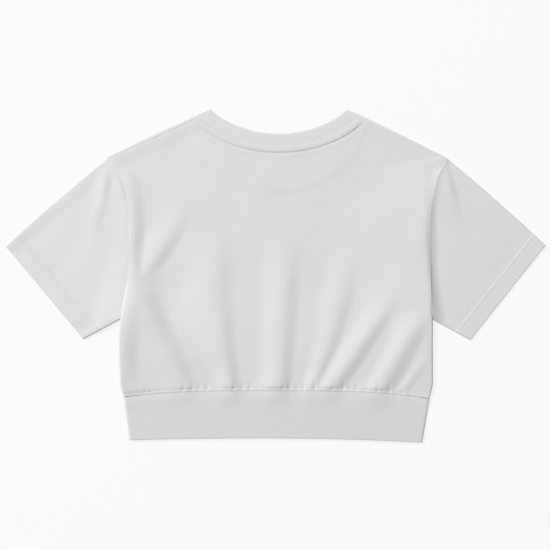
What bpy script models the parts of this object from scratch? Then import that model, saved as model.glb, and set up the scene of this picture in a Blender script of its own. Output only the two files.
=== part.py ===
"""Crop top, laid flat with its back up.

Six cut-and-sewn pieces, each one closed wall of cloth: back panel, front panel, two sleeves, neckband and
waistband. X runs across the garment, Y from the waistband to the neck and Z up from the surface that it lies
on. The origin is under the middle of the laid garment. Lengths are in millimetres until a mesh is made.
"""
import math

import bpy
import numpy as np

MM = 0.001                 # metres in a millimetre
LEFT, RIGHT = -1, 1
ACROSS = np.array((1.0, 0.0))

# ---- Cloth and clearances -----------------------------------------------------------------------------
CLOTH = 1.2                # jersey wall
NECK_RIB = 1.6             # neckband, rib folded double and pressed
WAIST_RIB = 2.4            # waistband, rib folded double
GAP = 0.3                  # between pieces at a seam, and between layers
BASE = CLOTH + GAP         # lowest underside of the upper layer
SEAM_TAPER = 3.0           # a panel's edge thins out over this width where a sleeve laps under it
SEAM_EXTRA = 0.5           # extra wall over a seam allowance
SEAM_STRIP = 7.0           # width of the neck and shoulder allowances
HEM_EXTRA = 0.3            # extra wall of a turned sleeve hem
HEM_WIDTH = 25.0
FOLD_EDGE = 1.65           # height of the outermost point of a folded edge

# ---- Body outline -------------------------------------------------------------------------------------
BODY_EDGES = (
    # height y, left edge x, right edge x
    (-176.0, -219.0, 223.2),
    (-172.0, -220.4, 224.6),
    (-162.0, -224.0, 227.7),
    (-136.0, -226.3, 228.7),
    (-101.0, -227.4, 228.4),
    (-63.0, -224.8, 227.9),
    (-34.0, -219.7, 225.8),
    (9.0, -214.9, 224.7),
    (63.0, -212.9, 224.8),
    (101.0, -214.6, 226.4),
    (125.0, -219.7, 230.8),
    (143.0, -226.2, 236.2),
    (162.0, -236.0, 245.8),
    (174.0, -243.8, 253.6),
)
UNDERARM_Y = -63.0
ARMHOLE_START = 10.0       # length over which the side fold turns into the armhole seam
BOW_FADE = 0.255           # share of a panel's width over which the bow of its side edges fades
WAIST_SEAM_Y = -165.8      # middle of the waist seam
WAIST_SEAM = (
    # side, half width, drop at the side
    (LEFT, 220.4, 9.0),
    (RIGHT, 224.0, 11.2),
)
WAIST_POWER = 3.2

# ---- Shoulders and neck -------------------------------------------------------------------------------
NECK_START, NECK_END = 0.263, 0.744    # share of a panel's top edge where the neck begins and ends
TIP_Y = {LEFT: 173.0, RIGHT: 169.7}    # where the shoulder fold meets the sleeve
FOLD_BOW, SEAM_BOW = 0.6, -0.9         # bow of the shoulder fold and of the shoulder seam
FOLD_INSET = 0.5                       # how far below that point the body's shoulder ends
TIP_STRIP = {LEFT: 1.6, RIGHT: 0.85}   # fold to seam at the sleeve
NECK_STRIP_ANGLE = {LEFT: 0.19, RIGHT: 0.245}    # fold to seam at the neck, as an angle round the neck
NECK_CURVES = {
    # name: left x, left y, right x, right y, depth, power
    "back seam": (-112.6, 233.4, 122.2, 232.6, 45.4, 1.5),
    "back edge": (-92.8, 241.4, 101.6, 241.2, 34.2, 1.7),
    "front seam": (-112.6, 233.4, 122.2, 232.6, 103.2, 1.1),
    "front edge": (-92.8, 241.4, 101.6, 241.2, 91.2, 1.15),
}

# ---- Sleeves and waistband ----------------------------------------------------------------------------
SLEEVES = (
    # name, side, lower cuff x, y, upper cuff x, y
    ("sleeve_left", LEFT, -278.4, -91.6, -392.2, 44.2),
    ("sleeve_right", RIGHT, 282.8, -92.8, 392.2, 44.9),
)
OVERARM_BOW = 1.7
LAP = 2.0                  # how far a sleeve's edge reaches under the back panel
LAP_DIP = 1.3              # how far it sinks there
LAP_TURN = 0.8             # how far outside the panel's edge it begins to sink
UNDERARM_LIFT = 0.45       # share of the armhole's height that the underarm fold takes
WAISTBAND_ENDS = (
    # share of the depth, left x, right x
    (0.0, -220.4, 224.0),
    (1.0, -211.7, 213.2),
)
WAISTBAND_MIDDLE = -20.0   # x of its shallowest point
WAISTBAND_BOTTOM = -235.0
WAISTBAND_DROP = {LEFT: 2.8, RIGHT: 6.4}

# ---- How the edges of the back panel stand up ---------------------------------------------------------
EDGE_ROLLS = (
    # y,    left: foot, crest, roll, fade,   right: foot, crest, roll, fade
    (-172.0, 1.65, 0.8, 2.6, 26.0, 1.65, 1.2, 2.6, 30.0),
    (-150.0, 2.0, 2.6, 2.6, 28.0, 2.4, 2.4, 3.0, 60.0),
    (-121.0, 2.6, 4.2, 2.6, 29.0, 3.3, 4.0, 3.0, 90.0),
    (-101.0, 3.4, 4.4, 2.6, 31.0, 4.4, 5.0, 3.0, 110.0),
    (-78.0, 5.6, 4.2, 2.8, 31.0, 6.2, 6.6, 3.2, 130.0),
    (-56.0, 8.4, 2.6, 3.2, 28.0, 9.4, 7.8, 3.2, 145.0),
    (-34.0, 9.0, 1.2, 4.0, 26.0, 10.6, 8.4, 4.6, 155.0),
    (-12.0, 8.4, 1.0, 4.4, 24.0, 9.8, 8.0, 6.2, 160.0),
    (9.0, 7.4, 3.4, 4.8, 18.0, 8.2, 7.4, 7.2, 165.0),
    (38.0, 6.3, 4.1, 4.8, 19.0, 6.9, 6.8, 9.2, 165.0),
    (63.0, 5.6, 3.8, 4.8, 21.0, 6.7, 6.4, 9.6, 160.0),
    (101.0, 5.2, 3.0, 4.8, 20.0, 6.9, 5.2, 9.6, 140.0),
    (125.0, 4.8, 2.2, 6.0, 19.0, 7.0, 4.0, 10.0, 100.0),
    (143.0, 4.5, 1.9, 9.0, 17.0, 6.6, 2.5, 11.0, 90.0),
    (160.0, 4.0, 1.2, 6.0, 12.0, 4.8, 1.4, 12.0, 60.0),
    (174.0, 3.4, 0.6, 3.0, 10.0, 3.8, 0.8, 3.0, 10.0),
)
EDGE_SHELF = {LEFT: 1.0, RIGHT: 3.5}   # how far its edges stay level before they fade inwards
EDGE_FALL = 0.6            # share of the right edge's fall that is a parabola, steepest beside the crest

# ---- Folds of the back: a crest with a long rise on its left and a shorter fall on its right -----------
FOLD_COLUMNS = ("top x", "top y", "middle x", "middle y", "foot x", "foot y",
                "middle height", "foot height", "middle rise", "foot rise", "middle fall", "foot fall")
BACK_FOLDS = (
    (-124.0, 128.0, -186.5, 12.0, -206.0, -15.0, 3.6, 4.4, 40.0, 40.0, 26.0, 48.0),
    (-214.0, 0.0, -180.0, -66.0, -131.0, -162.0, 6.0, 3.6, 60.0, 40.0, 34.0, 25.0),
    (-218.0, 20.0, -226.0, -70.0, -222.0, -165.0, 5.6, 3.4, 10.0, 10.0, 84.0, 84.0),
    (-88.5, 104.0, -86.0, -34.0, -64.5, -163.0, 3.2, 3.4, 62.0, 27.0, 30.0, 17.0),
    (16.0, 75.0, 11.6, -34.0, 3.2, -163.0, 3.5, 4.0, 40.0, 34.0, 26.0, 23.0),
    (101.5, 53.0, 90.0, -46.0, 50.8, -163.0, 2.6, 2.1, 34.0, 17.0, 24.0, 13.0),
    (172.6, -12.0, 127.6, -92.0, 78.3, -163.0, 3.7, 3.9, 32.0, 28.0, 24.0, 25.0),
    (212.0, -41.0, 189.5, -92.0, 150.5, -163.0, 4.0, 4.1, 31.0, 30.0, 27.0, 28.0),
    (220.0, -107.0, 204.5, -136.0, 184.0, -165.0, 0.9, 1.2, 12.0, 12.0, 14.0, 14.0),
)
FOLD_END = 60.0            # a fold that stops short of the seam dies away over this length
WAIST_PUFF = 1.5           # the upper layer's rise to the waistband
WAIST_PUFF_REACH = 70.0
BLOUSE = (
    # x, how far the back stands up over the waist seam where it blouses
    (-230.0, 0.5),
    (-170.0, 2.6),
    (-120.0, 4.0),
    (-60.0, 2.4),
    (60.0, 2.2),
    (150.0, 3.6),
    (230.0, 2.6),
)
BLOUSE_FALL, BLOUSE_FADE = 60.0, 110.0    # length of its fall to the seam, and of its fading above
WAIST_BUMPS = (
    # x, height, half width: where the large folds run on into the waistband
    (-154.0, 0.9, 34.0),
    (-72.0, 1.1, 34.0),
    (-4.0, 1.1, 32.0),
    (62.0, 1.0, 32.0),
    (134.0, 1.3, 36.0),
)
WAIST_BUMP_REACH = 40.0
GATHERS = (
    # x, depth, reach up from the waist seam
    (-188.5, 0.8, 16.0), (-181.3, 0.7, 12.0), (-133.4, 1.0, 18.0), (-120.4, 1.1, 20.0),
    (-110.2, 0.9, 14.0), (-98.6, 1.2, 22.0), (-59.5, 1.1, 20.0), (-47.9, 0.9, 16.0),
    (-36.3, 1.0, 18.0), (11.6, 0.9, 14.0), (20.3, 1.2, 22.0), (31.9, 0.9, 14.0),
    (40.6, 1.0, 16.0), (56.6, 1.2, 22.0), (82.7, 0.9, 16.0), (98.6, 1.2, 20.0),
    (107.3, 0.9, 14.0), (117.5, 1.1, 18.0), (132.0, 0.9, 14.0), (147.9, 1.0, 18.0),
    (165.3, 1.2, 20.0), (184.2, 0.9, 16.0),
)
GATHER_WIDTH = 3.8
FRONT_GATHERS = 13         # similar ones under the front, as shallow hollows clear of the floor
FRONT_GATHER_DEPTH = 0.6
FRONT_GATHER_REACH = 26.0
FRONT_GATHER_WIDTH = 6.0

# ---- The front neckband, felt through the back ---------------------------------------------------------
NECK_PRINT = 0.5
NECK_PRINT_EDGE = (1.03, 1.15)   # where it dies away, as shares of the way out to the front neck seam
SEAM_LIFT = 1.0            # upper layer's rise to the neck and shoulder seams
SEAM_LIFT_REACH = 20.0

SLEEVE_FOLDS = {
    LEFT: (
        (-238.0, 182.0, -246.5, 134.0, -264.0, 66.0, 1.6, 0.4, 20.0, 18.0, 10.0, 14.0),
        (-226.0, 0.0, -234.0, -30.0, -250.0, -70.0, 0.5, 0.8, 16.0, 18.0, 10.0, 12.0),
    ),
    RIGHT: (
        (236.0, 190.0, 251.0, 128.0, 261.0, 76.0, 2.4, 0.5, 60.0, 30.0, 13.0, 20.0),
    ),
}
SLEEVE_EDGES = (
    # share of the length, overarm crest, underarm crest
    (0.0, 0.3, 0.5),
    (0.2, 0.8, 0.8),
    (1.0, 1.0, 1.0),
)
OVERARM_ROLL, OVERARM_FADE = 2.6, 16.0
UNDERARM_ROLL, UNDERARM_FADE = 3.0, 14.0
FOLD_CALM = 12.0           # a sleeve's folds die away over this width beside its edges
SEAM_CALM = 4.0            # and over this one beside the armhole
SLEEVE_PUFF = {LEFT: 1.5, RIGHT: 0.3}    # how far the sleeves stand up between their folds
PUFF_REACH = 150.0
PUFF_EDGE = 0.22           # share of the width over which they do beside each fold
ARMHOLE_REACH = (
    # y, how far the sleeve's rise to the left and to the right armhole reaches down the sleeve
    (-63.0, 60.0, 27.0),
    (-30.0, 66.0, 24.0),
    (9.0, 58.0, 18.0),
    (40.0, 46.0, 17.0),
    (100.0, 32.0, 14.0),
    (170.0, 28.0, 10.0),
)
ARMHOLE_ROUND = {LEFT: 0.8, RIGHT: 0.0}  # 0 where that rise is steepest at the armhole, 1 where it is rounded

# ---- Colours ------------------------------------------------------------------------------------------
JERSEY = (0.72, 0.72, 0.72, 1.0)
RIB_KNIT = (0.68, 0.68, 0.68, 1.0)
ROUGHNESS = 0.9


# ---- Curves and profiles ------------------------------------------------------------------------------
def ease(t):
    """0 to 1 with flat ends."""
    t = np.clip(t, 0.0, 1.0)
    return t * t * (3.0 - 2.0 * t)


def hump(q):
    """Squared cosine: 1 at q = 0, falling to 0 at q = 1 on either side."""
    return np.cos(np.clip(np.abs(q), 0.0, 1.0) * math.pi / 2) ** 2


def quarter(q):
    """Quarter circle: 0 at q = 0 with a steep start, 1 from q = 1 on."""
    q = np.clip(q, 0.0, 1.0)
    return np.sqrt(1.0 - (1.0 - q) ** 2)


def mix(a, b, t):
    return a * (1.0 - t) + b * t


def through(at, stations, values):
    """Smooth curve through the values at the stations, cubic between neighbours."""
    stations = np.asarray(stations, float)
    values = np.asarray(values, float)
    slopes = np.gradient(values, stations)
    at = np.clip(at, stations[0], stations[-1])
    i = np.clip(np.searchsorted(stations, at, side="right") - 1, 0, len(stations) - 2)
    span = stations[i + 1] - stations[i]
    t = (at - stations[i]) / span
    start = (1.0 + 2.0 * t) * (1.0 - t) ** 2 * values[i] + t * (1.0 - t) ** 2 * span * slopes[i]
    end = t * t * (3.0 - 2.0 * t) * values[i + 1] + t * t * (t - 1.0) * span * slopes[i + 1]
    return start + end


def column(table, k):
    return np.array([row[k] for row in table], float)


def body_edge(y, side):
    return through(y, column(BODY_EDGES, 0), column(BODY_EDGES, 1 if side == LEFT else 2))


def by_side(x, middle, left, right):
    return np.where(x < middle, left, right)


def waist_seam(x):
    """The seam sags towards the sides with a power of the distance from the middle."""
    half = by_side(x, 0.0, WAIST_SEAM[0][1], WAIST_SEAM[1][1])
    drop = by_side(x, 0.0, WAIST_SEAM[0][2], WAIST_SEAM[1][2])
    return WAIST_SEAM_Y - drop * np.abs(x / half) ** WAIST_POWER


def neck_curve(angle, name, clear=0.0):
    """Half round the neck, from angle 0 at the left shoulder to pi at the right one."""
    left_x, left_y, right_x, right_y, depth, power = NECK_CURVES[name]
    across = (1.0 - np.cos(angle)) / 2.0
    x = mix(left_x - clear, right_x + clear, across)
    y = mix(left_y, right_y, across) - (depth + clear) * np.clip(np.sin(angle), 0.0, 1.0) ** power
    return np.stack((x, y), axis=-1)


def neck_angle(share):
    """Angle round the neck for a share of the way across, denser near the shoulders."""
    share = np.clip(share, 0.0, 1.0)
    return (np.arccos(1.0 - 2.0 * share) + math.pi * share) / 2.0


def shoulder_ends(side, seam):
    """Neck end and sleeve end of the shoulder seam, or of the line that the front panel folds over."""
    if seam:
        start = NECK_STRIP_ANGLE[side]
    else:
        start = 0.0
    angle = start if side == LEFT else math.pi - start
    neck = neck_curve(np.array(angle), "back seam", GAP)
    fold_y = TIP_Y[side] - FOLD_INSET
    y = fold_y - TIP_STRIP[side] if seam else fold_y
    tip = np.array((float(body_edge(y, side)), y))
    return neck, tip


def outward(side):
    """Unit vector in plan, across the shoulder fold and away from the garment."""
    neck, tip = shoulder_ends(side, False)
    along = (tip - neck) / np.linalg.norm(tip - neck)
    return side * np.array((-along[1], along[0]))


def shoulder_line(t, side, seam):
    """Bowed line from the neck, t = 0, to the sleeve, t = 1."""
    neck, tip = shoulder_ends(side, seam)
    t = t[..., None]
    return mix(neck, tip, t) + outward(side) * (SEAM_BOW if seam else FOLD_BOW) * 4.0 * t * (1.0 - t)


def panel_neck_angle(u, back):
    """Angle round the neck where a body panel's share u across meets its neck seam."""
    angle = neck_angle((u - NECK_START) / (NECK_END - NECK_START))
    if not back:
        return angle
    return mix(NECK_STRIP_ANGLE[LEFT], math.pi - NECK_STRIP_ANGLE[RIGHT], angle / math.pi)


def panel_top(u, back):
    """Top edge of a body panel: left shoulder, neck, right shoulder."""
    left = shoulder_line(np.clip(1.0 - u / NECK_START, 0.0, 1.0), LEFT, back)
    right = shoulder_line(np.clip((u - NECK_END) / (1.0 - NECK_END), 0.0, 1.0), RIGHT, back)
    middle = neck_curve(panel_neck_angle(u, back), "back seam" if back else "front seam", GAP)
    u = u[..., None]
    return np.where(u < NECK_START, left, np.where(u > NECK_END, right, middle))


def patch(u, v, bottom, top, left, right):
    """Plan patch: bottom blends into top, and each side's own bow fades fast with the distance from it."""
    u1 = u[..., None]
    v1 = v[..., None]
    zero = np.zeros_like(u)
    one = np.ones_like(u)
    left_bow = left(v) - mix(bottom(zero), top(zero), v1)
    right_bow = right(v) - mix(bottom(one), top(one), v1)
    bow_left = np.clip(1.0 - u1 / BOW_FADE, 0.0, 1.0) ** 2
    bow_right = np.clip(1.0 - (1.0 - u1) / BOW_FADE, 0.0, 1.0) ** 2
    return mix(bottom(u), top(u), v1) + left_bow * bow_left + right_bow * bow_right


def body_plan(u, v, back):
    """Plan point of a body panel: u runs across it and v from the waist seam up."""
    low_left, low_right = -WAIST_SEAM[0][1], WAIST_SEAM[1][1]

    def bottom(share):
        x = mix(low_left, low_right, share)
        return np.stack((x, waist_seam(x)), axis=-1)

    def edge(share, side, low_x):
        low_y = float(waist_seam(np.array(low_x)))
        tip_y = shoulder_ends(side, back)[1][1]
        y = mix(low_y, tip_y, share)
        x = body_edge(y, side)
        x = x + (low_x - body_edge(low_y, side)) * hump(share / 0.05)
        return np.stack((x, y), axis=-1)

    return patch(u, v, bottom, lambda s: panel_top(s, back),
                 lambda s: edge(s, LEFT, low_left), lambda s: edge(s, RIGHT, low_right))


# ---- Relief -------------------------------------------------------------------------------------------
def fold_lift(x, y, folds):
    """Sum of the folds: each crest is a parabola through its three points, seen as x over y."""
    total = np.zeros_like(x)
    for row in folds:
        f = dict(zip(FOLD_COLUMNS, row))
        ys = (f["top y"], f["middle y"], f["foot y"])
        xs = (f["top x"], f["middle x"], f["foot x"])
        crest = np.polyval(np.polyfit(ys, xs, 2), np.clip(y, ys[2], ys[0]))
        upper = ease((ys[0] - y) / (ys[0] - ys[1]))
        lower = np.clip((ys[1] - y) / (ys[1] - ys[2]), 0.0, 1.0)
        height = upper * mix(f["middle height"], f["foot height"], lower)
        height = height * hump(np.clip(ys[2] - y, 0.0, None) / FOLD_END)
        width = np.where(x < crest, mix(f["middle rise"], f["foot rise"], lower),
                         mix(f["middle fall"], f["foot fall"], lower))
        total = total + height * hump((x - crest) / width)
    return total


def waist_bumps(x):
    total = np.zeros_like(x)
    for middle, height, half in WAIST_BUMPS:
        total = total + height * hump((x - middle) / half)
    return total


def gather_dip(x, above, gathers, width):
    """Creases that run up from the waist seam and die away."""
    total = np.zeros_like(x)
    for middle, depth, reach in gathers:
        total = total + depth * hump((x - middle) / width) * hump(above / reach)
    return total


def front_gathers():
    """Creases across the front, unevenly spaced by a slow wave."""
    rows = []
    for k in range(FRONT_GATHERS):
        share = (k + 0.5) / FRONT_GATHERS
        x = mix(-195.0, 198.0, share) + 7.0 * math.sin(2.4 * k)
        reach = FRONT_GATHER_REACH * (0.8 + 0.3 * math.sin(1.7 * k + 1.0))
        rows.append((x, FRONT_GATHER_DEPTH, reach))
    return rows


def neck_print(x, y):
    """Lift over the front neckband, by the share of the way out to the front neck seam."""
    left_x, left_y, right_x, _, depth, _ = NECK_CURVES["front seam"]
    half = (right_x - left_x) / 2.0
    share = np.hypot((x - (left_x + right_x) / 2.0) / half, (left_y - y) / depth)
    start, end = NECK_PRINT_EDGE
    return NECK_PRINT * (1.0 - ease((share - start) / (end - start)))


def edge_roll(y, side):
    """Foot height, crest lift, roll width and fade width of the back panel's edge."""
    first = 1 if side == LEFT else 5
    heights = column(EDGE_ROLLS, 0)
    return [through(y, heights, column(EDGE_ROLLS, first + k)) for k in range(4)]


def back_lift(x, y, below_top):
    """How far the back panel's underside stands above its lowest level, without its edges."""
    above = y - waist_seam(x)
    near_seam = mix(0.45, 1.0, ease(above / 9.0))
    lift = fold_lift(x, y, BACK_FOLDS) * near_seam
    lift = lift + WAIST_PUFF * hump(above / WAIST_PUFF_REACH)
    blouse = ease(above / BLOUSE_FALL) * hump(np.clip(above - BLOUSE_FALL, 0.0, None) / BLOUSE_FADE)
    lift = lift + through(x, column(BLOUSE, 0), column(BLOUSE, 1)) * blouse
    lift = lift + waist_bumps(x) * hump(above / WAIST_BUMP_REACH)
    lift = lift - gather_dip(x, above, GATHERS, GATHER_WIDTH)
    lift = lift + SEAM_LIFT * hump(below_top / SEAM_LIFT_REACH)
    return lift + neck_print(x, y)


def seamed(y):
    """0 along the sides, where the edge is a fold, and 1 along the armholes, where it is a seam."""
    return ease((y - UNDERARM_Y) / ARMHOLE_START)


def edge_rise(distance, roll, seam):
    """0 at a panel's edge to 1 inside its roll: a quarter circle at a fold, a quarter sine wave at a seam."""
    q = np.clip(distance / roll, 0.0, 1.0)
    return mix(quarter(q), np.sin(q * math.pi / 2.0), seam)


def edge_fade(q, side):
    """1 at an edge's crest to 0 at q = 1: evenly on the left, soonest beside the crest on the right."""
    q = np.clip(q, 0.0, 1.0)
    return hump(q) if side == LEFT else mix(hump(q), (1.0 - q) ** 2, EDGE_FALL)


def inset(distance, wall, roll):
    """How much further in the inner skin lies where an edge rolls over."""
    return wall * np.clip(1.0 - distance / roll, 0.0, 1.0)


def moved(plan, shift, direction):
    return plan + shift[..., None] * direction


def lap(share):
    """How far the sleeve's edge laps under the back panel, by the share up the armhole."""
    return LAP * ease((share - 0.03) / 0.04) * ease((0.84 - share) / 0.08)


def sleeve_plan(s, r, row, upper):
    """Plan point of a sleeve layer: s from underarm to overarm, r from armhole to cuff."""
    _, side, low_x, low_y, high_x, high_y = row
    cuff_low = np.array((low_x, low_y))
    cuff_high = np.array((high_x, high_y))

    def armhole(share):
        y = mix(UNDERARM_Y, TIP_Y[side], share)
        under = lap(share) if upper else 0.0
        return np.stack((body_edge(y, side) + side * (GAP - under), y), axis=-1)

    def cuff(share):
        return mix(cuff_low, cuff_high, share[..., None])

    def underarm(share):
        return mix(armhole(np.zeros_like(share)), cuff_low, share[..., None])

    def overarm(share):
        start = armhole(np.ones_like(share))
        along = (cuff_high - start[..., :]) / np.linalg.norm(cuff_high - start, axis=-1, keepdims=True)
        across = side * np.stack((-along[..., 1], along[..., 0]), axis=-1)
        bow = OVERARM_BOW * 4.0 * share * (1.0 - share)
        return mix(start, cuff_high, share[..., None]) + across * bow[..., None]

    return patch(s, r, armhole, cuff, underarm, overarm)


def sleeve_puff(s, run, side):
    """How far a sleeve stands up between its folds, fading as a squared cosine towards the cuff."""
    return SLEEVE_PUFF[side] * hump(run / PUFF_REACH) * ease(s / PUFF_EDGE) * ease((1.0 - s) / PUFF_EDGE)


def armhole_height(s, side):
    """How far the sleeve's edge stands up along the armhole, to meet the body's edge."""
    foot = edge_roll(mix(UNDERARM_Y + ARMHOLE_START, TIP_Y[side], s), side)[0]
    return np.clip(foot - GAP - CLOTH - BASE, 0.0, None)


def armhole_share(s, run, side):
    """1 at the armhole, falling down the sleeve as a parabola mixed with a squared cosine."""
    seam_y = mix(UNDERARM_Y + ARMHOLE_START, TIP_Y[side], s)
    reach = np.interp(seam_y, column(ARMHOLE_REACH, 0), column(ARMHOLE_REACH, 1 if side == LEFT else 2))
    q = np.clip(run / reach, 0.0, 1.0)
    return mix((1.0 - q) ** 2, hump(q), ARMHOLE_ROUND[side])


def upper_level(x, y, s, r, run, under, over, side):
    """Underside height of a sleeve's upper layer."""
    stations = column(SLEEVE_EDGES, 0)
    over_crest = np.interp(r, stations, column(SLEEVE_EDGES, 1))
    under_crest = np.interp(r, stations, column(SLEEVE_EDGES, 2))
    lift = over_crest * hump(np.clip(over - OVERARM_ROLL, 0.0, None) / OVERARM_FADE)
    lift = lift + under_crest * hump(np.clip(under - UNDERARM_ROLL, 0.0, None) / UNDERARM_FADE)
    calm = ease(under / FOLD_CALM) * ease(over / FOLD_CALM)
    hidden = lap(s)
    clear = np.clip(run - hidden, 0.0, None)
    lift = lift + fold_lift(x, y, SLEEVE_FOLDS[side]) * calm + sleeve_puff(s, clear, side)
    height = armhole_height(s, side)
    met = mix(np.minimum(height, lift), lift, ease(clear / SEAM_CALM))
    met = met + np.clip(height - lift, 0.0, None) * armhole_share(s, clear, side)
    dip = LAP_DIP * hidden / LAP * hump(run / (LAP + LAP_TURN))
    return BASE + met - np.minimum(dip, height + (BASE - CLOTH) / 2.0)


# ---- Solids -------------------------------------------------------------------------------------------
def metres(points):
    return np.asarray(points, float).reshape(-1, 3) * MM


def grid_faces(rows, columns, first=0, wrap=False):
    """Triangles over a grid of points, each quad split the same way."""
    faces = []
    last = columns if wrap else columns - 1
    for j in range(rows - 1):
        for i in range(last):
            a = first + j * columns + i
            b = first + j * columns + (i + 1) % columns
            c = b + columns
            d = a + columns
            faces.append((a, b, c))
            faces.append((a, c, d))
    return faces


def signed_volume(points, faces):
    corners = points[np.array(faces)]
    return float(np.sum(corners[:, 0] * np.cross(corners[:, 1], corners[:, 2]))) / 6.0


def make_solid(name, points, faces, colour):
    """Mesh object with its faces outwards and its own material."""
    if signed_volume(points, faces) < 0.0:
        faces = [face[::-1] for face in faces]
    mesh = bpy.data.meshes.new(name)
    mesh.from_pydata(points.tolist(), [], faces)
    mesh.update()
    mesh.shade_smooth()
    mesh.set_sharp_from_angle(angle=math.radians(50.0))
    material = bpy.data.materials.new(name)
    material.use_nodes = True
    shader = material.node_tree.nodes["Principled BSDF"]
    shader.inputs["Base Color"].default_value = colour
    shader.inputs["Roughness"].default_value = ROUGHNESS
    shader.inputs["Metallic"].default_value = 0.0
    mesh.materials.append(material)
    piece = bpy.data.objects.new(name, mesh)
    bpy.context.scene.collection.objects.link(piece)
    return piece


def make_wall(name, outer, inner, faces, colour):
    """Closed wall between two skins that share their faces; each free border gets a rim."""
    outer = metres(outer)
    inner = metres(inner)
    count = len(outer)
    edges = set()
    for a, b, c in faces:
        edges.update(((a, b), (b, c), (c, a)))
    solid = list(faces)
    solid += [(c + count, b + count, a + count) for a, b, c in faces]
    for a, b in sorted(edges):
        if (b, a) not in edges:
            solid.append((b, a, a + count))
            solid.append((b, a + count, b + count))
    return make_solid(name, np.concatenate((outer, inner)), solid, colour)


# ---- Body panels --------------------------------------------------------------------------------------
BACK_EDGE_STEPS = (0.0, 0.6, 1.8, 3.8, 7.0, 11.5, 18.0)  # distances in from a side
FRONT_EDGE_STEPS = (0.0, 0.6, 3.0, 12.0)
BACK_ROWS = (0.0, 3.0, 8.0, 14.0, 21.0, 30.0, 41.0, 53.0, 66.0, 80.0, 95.0, 111.0, 122.0, 139.0, 162.0,
             188.0, 215.0, 243.0, 268.0, 290.0, 310.0, 327.0, 337.0, 344.0)
FRONT_ROWS = (0.0, 4.0, 11.0, 20.0, 30.0, 53.0, 80.0, 95.0, 104.0, 111.0, 139.0, 188.0, 243.0, 290.0, 322.0,
              344.0)
FRONT_ROLL = 3.0                                         # width of the front panel's side turns
SIDE_LEAN = 0.8                                          # and how much wider they are for their height
FOLD_TURN = (36.0, 72.0, 108.0, 144.0, 180.0)            # degrees round the shoulder fold


def panel_columns(creases, width, widest, steps):
    """Shares across the waist seam: near the sides, on and beside each crease, and filled in between."""
    low, high = -WAIST_SEAM[0][1], WAIST_SEAM[1][1]
    fixed = [low + step for step in steps] + [high - step for step in steps]
    fixed += [mix(low, high, NECK_START), mix(low, high, NECK_END)]
    marks = list(creases)
    for a, b in zip(creases[:-1], creases[1:]):
        marks += [(a + b) / 2.0] if b - a < 3.0 * width else [a + width, b - width]
    marks = [x for x in marks if min(abs(x - y) for y in fixed) > 0.6 * width]
    marks = sorted(marks + fixed)
    filled = [marks[0]]
    for x in marks[1:]:
        start = filled[-1]
        parts = math.ceil((x - start) / widest)
        filled += [mix(start, x, (k + 1) / parts) for k in range(parts)]
    return (np.array(filled) - low) / (high - low)


def panel_grid(columns, rows):
    u, v = np.meshgrid(columns, np.array(rows) / rows[-1])
    return u, v


def back_columns():
    return panel_columns(column(GATHERS, 0), GATHER_WIDTH, 10.5, BACK_EDGE_STEPS)


def front_columns():
    return panel_columns(column(front_gathers(), 0), FRONT_GATHER_WIDTH, 24.0, FRONT_EDGE_STEPS)


def neck_columns(columns):
    """The columns of a body panel that meet its neck seam."""
    return columns[(columns > NECK_START - 1e-6) & (columns < NECK_END + 1e-6)]


def make_back_panel():
    u, v = panel_grid(back_columns(), BACK_ROWS)
    plan = body_plan(u, v, True)
    height = BACK_ROWS[-1]
    x, y = plan[..., 0], plan[..., 1]
    below_top = (1.0 - v) * height
    lift = back_lift(x, y, below_top)
    wall = CLOTH + SEAM_EXTRA * ease((SEAM_STRIP + 2.0 - below_top) / 2.0)
    wall = wall + SEAM_EXTRA * ease((6.0 - (y - waist_seam(x))) / 3.0)
    foot = np.zeros_like(x)
    rise = np.ones_like(x)
    shift = np.zeros_like(x)
    seam = seamed(y)
    for side, distance in ((LEFT, x - x[:, :1]), (RIGHT, x[:, -1:] - x)):
        edge_foot, crest, roll, fade = edge_roll(y, side)
        lift = lift + crest * edge_fade((distance - roll - EDGE_SHELF[side]) / fade, side)
        nearer = (u < 0.5) if side == LEFT else (u >= 0.5)
        foot = np.where(nearer, edge_foot, foot)
        rise = np.where(nearer, edge_rise(distance, roll, seam), rise)
        shift = np.where(nearer, -side * inset(distance, wall, roll) * (1.0 - seam), shift)
    taper = quarter(np.minimum(x - x[:, :1], x[:, -1:] - x) / SEAM_TAPER)
    outer_z = mix(foot, BASE + lift + wall, rise)
    inner_z = mix(mix(foot, BASE + lift, rise), outer_z - wall * taper, seam)
    outer = np.dstack((plan, outer_z))
    inner = np.dstack((moved(plan, shift, ACROSS), inner_z))
    return make_wall("back_panel", outer, inner, grid_faces(*u.shape), JERSEY)


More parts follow.
